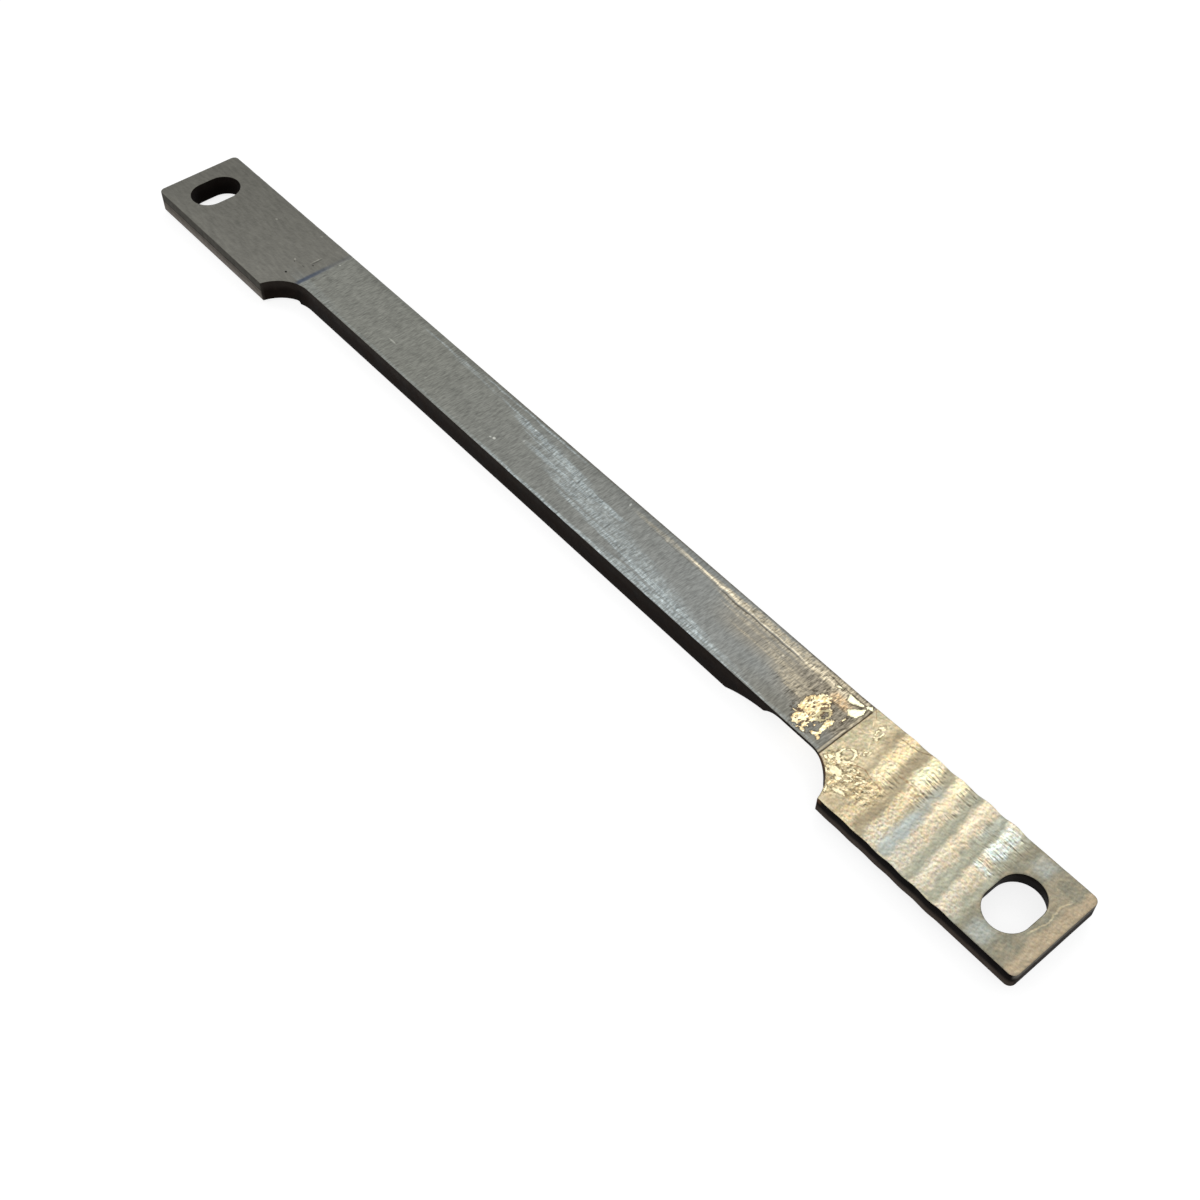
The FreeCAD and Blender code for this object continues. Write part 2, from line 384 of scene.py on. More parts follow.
def columnPlaces():
    # x of the columns: even steps, or even turns round a notch, close together where the shape turns
    # or ripples and far apart along the plain bar
    plainTurn = math.asin(plainReach / knife["notchRadius"])
    cuttingTurn = math.asin(cuttingReach / knife["notchRadius"])
    parts = [
        np.linspace(-grid["blockEnd"], plainNotch - plainReach, grid["plainTab"]),
        plainNotch - knife["notchRadius"] * np.sin(np.linspace(plainTurn, 0, grid["plainNotch"])),
        np.linspace(plainNotch, grid["reliefFrom"], grid["bar"]),
        np.linspace(grid["reliefFrom"], grid["splashesFrom"], grid["relief"]),
        np.linspace(grid["splashesFrom"], cuttingNotch, grid["splashes"]),
        cuttingNotch + knife["notchRadius"] * np.sin(np.linspace(0, cuttingTurn, grid["cuttingNotch"])),
        np.linspace(cuttingNotch + cuttingReach, grid["blockEnd"], grid["cuttingTab"]),
        plainStep + face["plainRise"] * np.array([-1, 0, 1]),
        cuttingStep + np.array(grid["atScribe"]),
    ]
    x = np.unique(np.round(np.concatenate(parts), 6))
    return x[np.concatenate([[True], np.diff(x) > grid["closest"]])]


def underProfile(x):
    # the underside at each column: flat under the bar, and at each step the columns near it are
    # spread evenly along a path that goes down the wall and round its fillet
    movedX = x.copy()
    z = np.where(x < plainStep, knife["plainUnder"], np.where(x > cuttingStep, knife["cuttingUnder"], 0.0))
    f, r = knife["stepFillet"], edges["under"]
    reach = 0.9               # how far from the step the columns are moved
    slant = 0.004             # leans the upright wall a hair, so that x always grows along the path
    turn = np.linspace(0, math.pi / 2, 7)
    for step, side, under in ((plainStep, -1, knife["plainUnder"]), (cuttingStep, 1, knife["cuttingUnder"])):
        near = np.abs(x - step) < reach
        pathX = np.concatenate([[-reach], -r + r * np.sin(turn), f - f * np.cos(turn), [reach]])
        pathZ = np.concatenate([[0], r - r * np.cos(turn), under - f + f * np.sin(turn), [under]])
        pathX = pathX + np.linspace(0, slant, len(pathX))
        length = np.concatenate([[0], np.cumsum(np.hypot(np.diff(pathX), np.diff(pathZ)))])
        share = (x[near] - x[near][0]) / (x[near][-1] - x[near][0])
        if side < 0:
            share = 1 - share
        at = share * length[-1]
        movedX[near] = step + side * np.interp(at, length, pathX)
        z[near] = np.interp(at, length, pathZ)
    return movedX, z


bend = np.radians([0, 22.5, 45, 67.5, 90])    # the angles a of an edge's round
wallSteps = np.array([0.3, 0.5, 0.58, 0.8])   # shares of the straight run below it


def wallBand(top, topNormal, topZ, under, underNormal, underZ, topRadius, underRadius):
    # a wall from the top face's rim to the underside's: a quarter round of radius r at each end,
    # p = edge - n r (1 - sin a), z = top - r (1 - cos a), and a straight run between
    layers = []
    for a in bend:
        flat = top - topNormal * (topRadius * (1 - math.sin(a)))[:, None]
        layers.append(np.column_stack([flat, topZ - topRadius * (1 - math.cos(a))]))
    for share in wallSteps:
        flat = top + (under - top) * share
        height = (topZ - topRadius) * (1 - share) + (underZ + underRadius) * share
        layers.append(np.column_stack([flat, height]))
    for a in bend[::-1]:
        flat = under - underNormal * (underRadius * (1 - math.sin(a)))[:, None]
        layers.append(np.column_stack([flat, underZ + underRadius * (1 - math.cos(a))]))
    return np.stack(layers, 1)


patches = []                  # (points on a grid, faces turned over, grid closes on itself, finish)


def addPatch(points, turned, closed, finish):
    # keeps a grid of points until all of them are joined
    patches.append((points, turned, closed, finish))


def surface(flat, z):
    # the height z(x, y) put beside each x and y of a flat grid
    return np.concatenate([flat, z[..., None]], -1)


def sheetBetween(low, high):
    # straight lines from low to high: p = low + (high - low) t, for even shares t
    t = np.linspace(0, 1, grid["rows"])[None, :, None]
    return low[:, None, :] * (1 - t) + high[:, None, :] * t


def underHeight(flat, base):
    # the underside, or the relief where that is higher
    return np.maximum(base, reliefHeight(flat[..., 0], flat[..., 1]))


def longBlock():
    # every column is a closed ring of top face, wall, underside and wall
    columns = columnPlaces()
    underX, underZ = underProfile(columns)
    walls, rims = {}, {}
    for name, edge, outward in (("lower", lowerEdge, -1), ("upper", upperEdge, 1)):
        top, topNormal = outline(edge, columns, outward)
        under, underNormal = outline(edge, underX, outward)
        topRadius = edgeRadius(columns, name == "lower")
        underRadius = np.full(len(columns), edges["under"])
        if name == "lower":
            keen = keenness(underX, edges["keenUnder"])
            underRadius = underRadius * (1 - keen) + edges["cuttingEdge"] * keen
        topRim = top - topNormal * topRadius[:, None]
        underRim = under - underNormal * underRadius[:, None]
        topZ = topHeight(topRim[:, 0], topRim[:, 1])
        rimZ = underHeight(underRim, underZ)
        walls[name] = wallBand(top, topNormal, topZ, under, underNormal, rimZ, topRadius, underRadius)
        rims[name] = (topRim, underRim)
    topFlat = sheetBetween(rims["lower"][0], rims["upper"][0])
    topGrid = surface(topFlat, topHeight(topFlat[..., 0], topFlat[..., 1]))
    underFlat = sheetBetween(rims["lower"][1], rims["upper"][1])
    underGrid = surface(underFlat, underHeight(underFlat, underZ[:, None]))
    for name, row in (("lower", 0), ("upper", -1)):
        walls[name][:, 0] = topGrid[:, row]
        walls[name][:, -1] = underGrid[:, row]
    addPatch(topGrid, False, False, "top")
    addPatch(underGrid, True, False, "under")
    addPatch(walls["lower"], False, False, "wall")
    addPatch(walls["upper"], True, False, "wall")
    return topGrid, underGrid, walls


def endPath(side):
    # the outline round one end, anticlockwise from the long block and back to it, with its normals:
    # straight runs, and corners c + r (sin a, -cos a)
    r = knife["cornerRadius"]
    corner = half - r
    run = np.linspace(grid["blockEnd"], corner, grid["besideSlot"]) * side
    lower, lowerNormal = outline(lowerEdge, run, -1)
    upper, upperNormal = outline(upperEdge, run, 1)
    angles = np.radians(np.linspace(0, 90, grid["corner"])[1:-1])
    low, high = (edge(np.array([corner * side]))[0] for edge in (lowerEdge, upperEdge))
    down = np.stack([side * np.sin(angles), -np.cos(angles)], -1)
    up = np.stack([side * np.cos(angles), np.sin(angles)], -1)
    rows = np.linspace(low + r, high - r, grid["endFace"])
    endNormal = np.tile([float(side), 0.0], (len(rows), 1))
    points = [lower, [side * corner, low + r] + r * down, np.stack([rows * 0 + side * half, rows], -1),
              [side * corner, high - r] + r * up, upper[::-1]]
    normals = [lowerNormal, down, endNormal, up, upperNormal[::-1]]
    points, normals = np.concatenate(points), np.concatenate(normals)
    return (points, normals) if side > 0 else (points[::-1], normals[::-1])


def slotRim(centreX, directions, grow):
    # where rays from the slot's centre meet its outline, a rectangle with round ends grown by grow:
    # on the sides at a / |dx|, and on the caps at d.c + sqrt((d.c)^2 - |c|^2 + a^2)
    a, h = slot["width"] / 2 + grow, (slot["length"] - slot["width"]) / 2
    dx, dy = directions[:, 0], directions[:, 1]
    far = a / np.maximum(np.abs(dx), 1e-9)
    cap = np.sign(dy) * h
    dot = dy * cap
    onCap = dot + np.sqrt(np.maximum(dot * dot - h * h + a * a, 0.0))
    onSide = np.abs(far * dy) <= h
    reach = np.where(onSide, far, onCap)
    points = np.stack([centreX + reach * dx, slot["y"] + reach * dy], -1)
    centre = np.stack([np.full(len(dx), centreX), slot["y"] + np.where(onSide, reach * dy, cap)], -1)
    inward = centre - points
    return points, inward / np.linalg.norm(inward, axis=1)[:, None]


def endBlock(side, base, flare, topGrid, underGrid, walls):
    # a wall round the end, and rings p = outer + (inner - outer) t that close in on the slot's rim
    path, normal = endPath(side)
    column = -1 if side > 0 else 0
    topRadius = edgeRadius(path[:, 0], False)
    underRadius = np.full(len(path), edges["under"])
    topRim = path - normal * topRadius[:, None]
    underRim = path - normal * underRadius[:, None]
    topZ = topHeight(topRim[:, 0], topRim[:, 1])
    rimZ = underHeight(underRim, np.full(len(path), base))
    band = wallBand(path, normal, topZ, path, normal, rimZ, topRadius, underRadius)
    first, last = ("lower", "upper") if side > 0 else ("upper", "lower")
    band[0], band[-1] = walls[first][column], walls[last][column]
    addPatch(band, False, False, "wall")
    cut = slice(-2, 0, -1) if side > 0 else slice(1, -1)
    outerTop = np.concatenate([band[:, 0], topGrid[column][cut]])
    outerUnder = np.concatenate([band[:, -1], underGrid[column][cut]])
    centreX = side * (half - slot["fromEnd"])
    rays = outerTop[:, :2] - [centreX, slot["y"]]
    rays = rays / np.linalg.norm(rays, axis=1)[:, None]
    wide, inward = slotRim(centreX, rays, slot["rim"])
    narrow = wide + inward * slot["rim"]
    rim = np.full(len(wide), slot["rim"])
    holeTop = topHeight(wide[:, 0], wide[:, 1])
    holeUnder = np.full(len(wide), base)
    hole = wallBand(narrow, inward, holeTop, narrow - inward * flare, inward, holeUnder, rim, rim)
    for outer, inner, rings, turned, finish in (
        (outerTop, hole[:, 0], grid["rings"], False, "top"),
        (outerUnder, hole[:, -1], grid["ringsUnder"], True, "under"),
    ):
        t = np.linspace(0, 1, rings + 1)[:, None, None]
        sheet = outer[None] * (1 - t) + inner[None] * t
        if finish == "top":
            sheet[1:-1, :, 2] = topHeight(sheet[1:-1, :, 0], sheet[1:-1, :, 1])
        addPatch(sheet, turned, True, finish)
    addPatch(hole[::-1], False, True, "slotWall")


finishIds = {"top": 0, "under": 1, "wall": 2, "slotWall": 3}


def joinPatches():
    # grid quads of every patch, corners in the same place merged, then one vertex list and one face list
    vertices, faces, finishes, count = [], [], [], 0
    for points, turned, closed, finish in patches:
        n, m = points.shape[:2]
        index = count + np.arange(n * m).reshape(n, m)
        if finish == "slotWall":
            index = np.concatenate([index, index[:1]], axis=0)
        elif closed:
            index = np.concatenate([index, index[:, :1]], axis=1)
        a, b, c, d = index[:-1, :-1], index[1:, :-1], index[1:, 1:], index[:-1, 1:]
        quads = np.stack([a, d, c, b] if closed or finish == "wall" else [a, b, c, d], -1)
        if turned:
            quads = quads[..., ::-1]
        layer = np.broadcast_to(np.arange(quads.shape[1]), quads.shape[:2])
        vertices.append(points.reshape(-1, 3))
        faces.append(quads.reshape(-1, 4))
        which = np.full(quads.shape[:2], finishIds[finish])
        finishes.append(np.stack([which, layer], -1).reshape(-1, 2))
        count += n * m
    vertices, faces, finishes = np.concatenate(vertices), np.concatenate(faces), np.concatenate(finishes)
    _, first, back = np.unique(np.round(vertices, 6), axis=0, return_index=True, return_inverse=True)
    faces = back.reshape(-1)[faces]
    solid = (faces[:, 0] != faces[:, 2]) & (faces[:, 1] != faces[:, 3])
    return vertices[first], faces[solid], finishes[solid]


block = longBlock()
print("long block:", len(block[0]), "columns by", grid["rows"], "rows")
endBlock(-1, knife["plainUnder"], 0.0, *block)
endBlock(1, knife["cuttingUnder"], slot["flare"], *block)
print("end blocks: rings round both slots")
vertices, faces, finishes = joinPatches()


def faceFinishes(vertices, faces, finishes):
    # 0 ground steel, 1 forged tab, 2 scaled walls: from the kind of each face and where its centre lies
    margin = 0.02
    centres = vertices[faces].mean(axis=1)
    kind, layer = finishes[:, 0], finishes[:, 1]
    roundTop = layer < len(bend) // 2         # the upper half of a worn edge keeps the top face's finish
    onTop = (kind == finishIds["top"]) | ((kind >= finishIds["wall"]) & roundTop)
    onTab = centres[:, 0] > cuttingStep - margin
    below = kind == finishIds["under"]
    relieved = below & (reliefHeight(centres[:, 0], centres[:, 1]) > knife["cuttingUnder"] + margin / 2)
    ground = ~onTab & (onTop | below)
    return np.where(onTop & onTab, 1, np.where(ground | relieved, 0, 2))


mesh = bpy.data.meshes.new("fixedKnifeBody")
mesh.vertices.add(len(vertices))
mesh.vertices.foreach_set("co", (vertices / 1000.0).ravel())
mesh.loops.add(faces.size)
mesh.loops.foreach_set("vertex_index", faces.ravel().astype(np.int32))
mesh.polygons.add(len(faces))
mesh.polygons.foreach_set("loop_start", np.arange(0, faces.size, 4, dtype=np.int32))
mesh.polygons.foreach_set("loop_total", np.full(len(faces), 4, dtype=np.int32))
mesh.polygons.foreach_set("material_index", faceFinishes(vertices, faces, finishes).astype(np.int32))
mesh.polygons.foreach_set("use_smooth", np.ones(len(faces), dtype=bool))
mesh.update(calc_edges=True)
mesh.validate()

# The crests' colours, partly heat tint and partly painted reflection, follow the ripples raggedly, and
# drift from them a little along the tab.
temperAndSheen = {
    "ragged": [(1.1, 0.9, 41, 0.5), (0.34, 0.42, 42, 0.34)],        # cell along and across, seed, reach
    "driftAt": [47.5, 50.5, 53.5, 56.5, 60.0],
    "drift": [-0.12, 0.1, 0.22, 0.36, 0.22],
    "crest": 0.62,            # more than a half widens the crests' colour
    "startsOver": (-0.4, 0.2),                # fades in and out over this, from the ripples' start and end
    "endsOver": (-0.3, 0.4),
}


def temperAndSheenFields(x, y):
    # phase is the share of a pitch at the ragged place, crest is c (1 - cos 2 pi phase) held under 1
    ragged = fanned(x, y)
    for *noise, reach in temperAndSheen["ragged"]:
        ragged = ragged + reach * (lattice(x, y, *noise) - 0.5)
    ragged = ragged - np.interp(x, temperAndSheen["driftAt"], temperAndSheen["drift"])
    phase = np.mod((ragged - ripples["start"]) / ripples["pitch"], 1.0)
    crest = np.minimum(temperAndSheen["crest"] * (1 - np.cos(2 * math.pi * phase)), 1.0)
    started = ease(ragged - ripples["start"], *temperAndSheen["startsOver"])
    rippled = started * (1 - ease(ragged - rippleEnd, *temperAndSheen["endsOver"]))
    return {"splash": splashDepth(x, y), "crest": crest * rippled, "phase": phase, "rippled": rippled}


for name, values in temperAndSheenFields(vertices[:, 0], vertices[:, 1]).items():
    attribute = mesh.attributes.new(name, "FLOAT", "POINT")
    attribute.data.foreach_set("value", values.astype(np.float32))

body = bpy.data.objects.new("fixedKnifeBody", mesh)
bpy.context.scene.collection.objects.link(body)
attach(body, "root")
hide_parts("fixed_knife")
print("knife body:", len(vertices), "vertices,", len(faces), "quads")


# Finishes. Tones are written as they look on screen, 0 to 255.
def tone(red, green, blue, strength=1.0):
    # screen value to linear light: ((v + 0.055) / 1.055)^2.4
    values = [((v / 255 + 0.055) / 1.055) ** 2.4 * strength for v in (red, green, blue)]
    return (*values, 1.0)


class Bench:
    # short names for the nodes of one material; every call returns an output socket

    def __init__(self, name):
        self.material = bpy.data.materials.new(name)
        self.material.use_nodes = True
        self.tree = self.material.node_tree
        self.tree.nodes.clear()
        coordinates = self.tree.nodes.new("ShaderNodeTexCoord")
        self.place = self.vector("SCALE", coordinates.outputs["Object"], scale=1000.0)
        split = self.tree.nodes.new("ShaderNodeSeparateXYZ")
        self.plug(split.inputs[0], self.place)
        self.x, self.y, self.z = split.outputs
        wander = self.calc("SUBTRACT", self.grain(0.5, 1.2, 3.0, 17.0), 0.5)
        self.wavyY = self.calc("MULTIPLY_ADD", wander, 0.45, self.y)

    def plug(self, socket, value):
        # links an output, or sets a plain value
        if isinstance(value, bpy.types.NodeSocket):
            self.tree.links.new(value, socket)
        elif value is not None:
            socket.default_value = value

    def vector(self, operation, a, b=None, scale=None):
        # a vector worked out from one or two others
        node = self.tree.nodes.new("ShaderNodeVectorMath")
        node.operation = operation
        self.plug(node.inputs[0], a)
        self.plug(node.inputs[1], b)
        self.plug(node.inputs[3], scale)
        return node.outputs[0]

    def calc(self, operation, a, b=None, c=None):
        # a number worked out from one, two or three others
        node = self.tree.nodes.new("ShaderNodeMath")
        node.operation = operation
        for socket, value in zip(node.inputs, (a, b, c)):
            self.plug(socket, value)
        return node.outputs[0]

    def joined(self, operation, values):
        # a series joined one by one, each made just before it is needed, so that few are held at once
        result = None
        for value in values:
            result = value if result is None else self.calc(operation, result, value)
        return result

    def times(self, *values):
        # the product of all values
        return self.joined("MULTIPLY", values)

    def add(self, *values):
        # the sum of all values
        return self.joined("ADD", values)

    def most(self, *values):
        # the greatest of all values
        return self.joined("MAXIMUM", values)

    def away(self, value, centre):
        # how far a value is from a centre, either way
        return self.calc("ABSOLUTE", self.calc("SUBTRACT", value, centre))

    def span(self, value, low, high, fromValue=0.0, toValue=1.0, smooth=True):
        # fromValue at low and toValue at high, eased or straight between, and held outside
        node = self.tree.nodes.new("ShaderNodeMapRange")
        node.interpolation_type = "SMOOTHSTEP" if smooth else "LINEAR"
        for socket, v in zip(node.inputs, (value, low, high, fromValue, toValue)):
            self.plug(socket, v)
        return node.outputs[0]

    def ramp(self, value, low, high, fromValue, toValue):
        # a straight change between two levels
        return self.span(value, low, high, fromValue, toValue, smooth=False)

    def fade(self, x0, x1, y0, y1):
        # full past x1 and y1, nothing before x0 and y0
        return self.times(self.span(self.x, x0, x1), self.span(self.y, y0, y1))

    def band(self, value, low, high, soft):
        # 1 between low and high, with soft edges
        above = self.span(value, low - soft, low + soft)
        return self.times(above, self.span(value, high + soft, high - soft))

    def area(self, x0, x1, y0, y1, softX, softY):
        # 1 inside a box of the top view, with soft edges
        return self.times(self.band(self.x, x0, x1, softX), self.band(self.y, y0, y1, softY))

    def areas(self, rows):
        # the strongest of some areas at each place, each with its own strength
        return self.joined("MAXIMUM", (self.times(self.area(*box), strength) for *box, strength in rows))

    def path(self, places):
        # a broken line y(x) through the places, as a sum of ramps
        height = places[0][1]
        for (x0, y0), (x1, y1) in zip(places, places[1:]):
            height = self.calc("ADD", height, self.ramp(self.x, x0, x1, 0.0, y1 - y0))
        return height

    def along(self, places, width):
        # 1 on the path and 0 at width from it
        return self.span(self.away(self.wavyY, self.path(places)), width, 0.0)

    def streak(self, x0, y0, x1, y1, width, soft, strength):
        # a straight streak y = y0 + slope (x - x0) that fades over soft at both ends
        slope = (y1 - y0) / (x1 - x0)
        gap = self.away(self.wavyY, self.calc("MULTIPLY_ADD", self.x, slope, y0 - x0 * slope))
        start = self.span(self.x, x0, x0 + soft, 0.0, strength)
        ends = self.times(start, self.span(self.x, x1, x1 - soft))
        return self.times(self.span(gap, width, width * 0.25), ends)

    def streaks(self, rows):
        # the strongest of some streaks at each place
        return self.joined("MAXIMUM", (self.streak(*row) for row in rows))

    def spot(self, cx, cy, rx, ry, turn=0.0):
        # distance from a centre in radii, 1 on the rim of the ellipse: sqrt(u^2 + v^2) of the turned offsets
        c, s = math.cos(math.radians(turn)), math.sin(math.radians(turn))
        u = self.calc("MULTIPLY_ADD", self.y, s / rx, -(cx * c + cy * s) / rx)
        u = self.calc("MULTIPLY_ADD", self.x, c / rx, u)
        v = self.calc("MULTIPLY_ADD", self.x, -s / ry, (cx * s - cy * c) / ry)
        v = self.calc("MULTIPLY_ADD", self.y, c / ry, v)
        return self.calc("SQRT", self.add(self.times(u, u), self.times(v, v)))

    def grain(self, perX, perY, detail=2.0, shift=0.0, rough=0.5, moved=(0.0, 0.0)):
        # noise with that many cells to a millimetre along and across, read a little to one side
        node = self.tree.nodes.new("ShaderNodeTexNoise")
        node.noise_dimensions = "3D"
        node.inputs["Scale"].default_value = 1.0
        node.inputs["Detail"].default_value = detail
        node.inputs["Roughness"].default_value = rough
        stretched = self.vector("MULTIPLY", self.place, (perX, perY, (perX + perY) / 2))
        offset = (shift + moved[0] * perX, shift * 0.7 + moved[1] * perY, shift * 1.3)
        self.plug(node.inputs["Vector"], self.vector("ADD", stretched, offset))
        return node.outputs["Fac"]

    def chased(self, perX, perY, detail, shift, reach):
        # the same noise read on both sides of a point and subtracted: lit and shaded sides of small bumps
        one = self.grain(perX, perY, detail, shift, 0.5, (-reach, reach * 0.6))
        other = self.grain(perX, perY, detail, shift, 0.5, (reach, -reach * 0.6))
        return self.calc("SUBTRACT", one, other)

    def field(self, name):
        # a value that the mesh carries at each vertex
        node = self.tree.nodes.new("ShaderNodeAttribute")
        node.attribute_name = name
        return node.outputs["Fac"]

    def splashDepth(self):
        # the mesh's smooth depth inside a splash in mm, its rim made ragged by fine noise
        ragged = self.calc("SUBTRACT", self.grain(5.5, 5.5, 3.0, 91.0), 0.5)
        return self.calc("MULTIPLY_ADD", ragged, 0.3, self.field("splash"))

    def mix(self, share, a, b, kind="MIX"):
        # two colours: a (1 - share) + b share, or another kind of blend
        node = self.tree.nodes.new("ShaderNodeMix")
        node.data_type = "RGBA"
        node.blend_type = kind
        self.plug(node.inputs[0], share)
        self.plug(node.inputs[6], a)
        self.plug(node.inputs[7], b)
        return node.outputs[2]

    def mixValue(self, share, a, b):
        # the same for two numbers
        node = self.tree.nodes.new("ShaderNodeMix")
        self.plug(node.inputs[0], share)
        self.plug(node.inputs[2], a)
        self.plug(node.inputs[3], b)
        return node.outputs[0]

    def scaled(self, colour, amount):
        # colour times a number
        if not isinstance(colour, bpy.types.NodeSocket):
            colour = colour[:3]
        return self.vector("SCALE", colour, scale=amount)

    def finish(self, colour, roughness, height, metallic, depth, specular=0.5):
        # the material, with its height as a bump of that depth in mm
        shader = self.tree.nodes.new("ShaderNodeBsdfPrincipled")
        output = self.tree.nodes.new("ShaderNodeOutputMaterial")
        bump = self.tree.nodes.new("ShaderNodeBump")
        bump.inputs["Strength"].default_value = 1.0
        bump.inputs["Distance"].default_value = depth / 1000.0
        self.plug(bump.inputs["Height"], height)
        self.plug(shader.inputs["Normal"], bump.outputs["Normal"])
        self.plug(shader.inputs["Base Color"], colour)
        self.plug(shader.inputs["Roughness"], roughness)
        self.plug(shader.inputs["Metallic"], metallic)
        shader.inputs["Specular IOR Level"].default_value = specular
        self.tree.links.new(shader.outputs[0], output.inputs["Surface"])
        return self.material


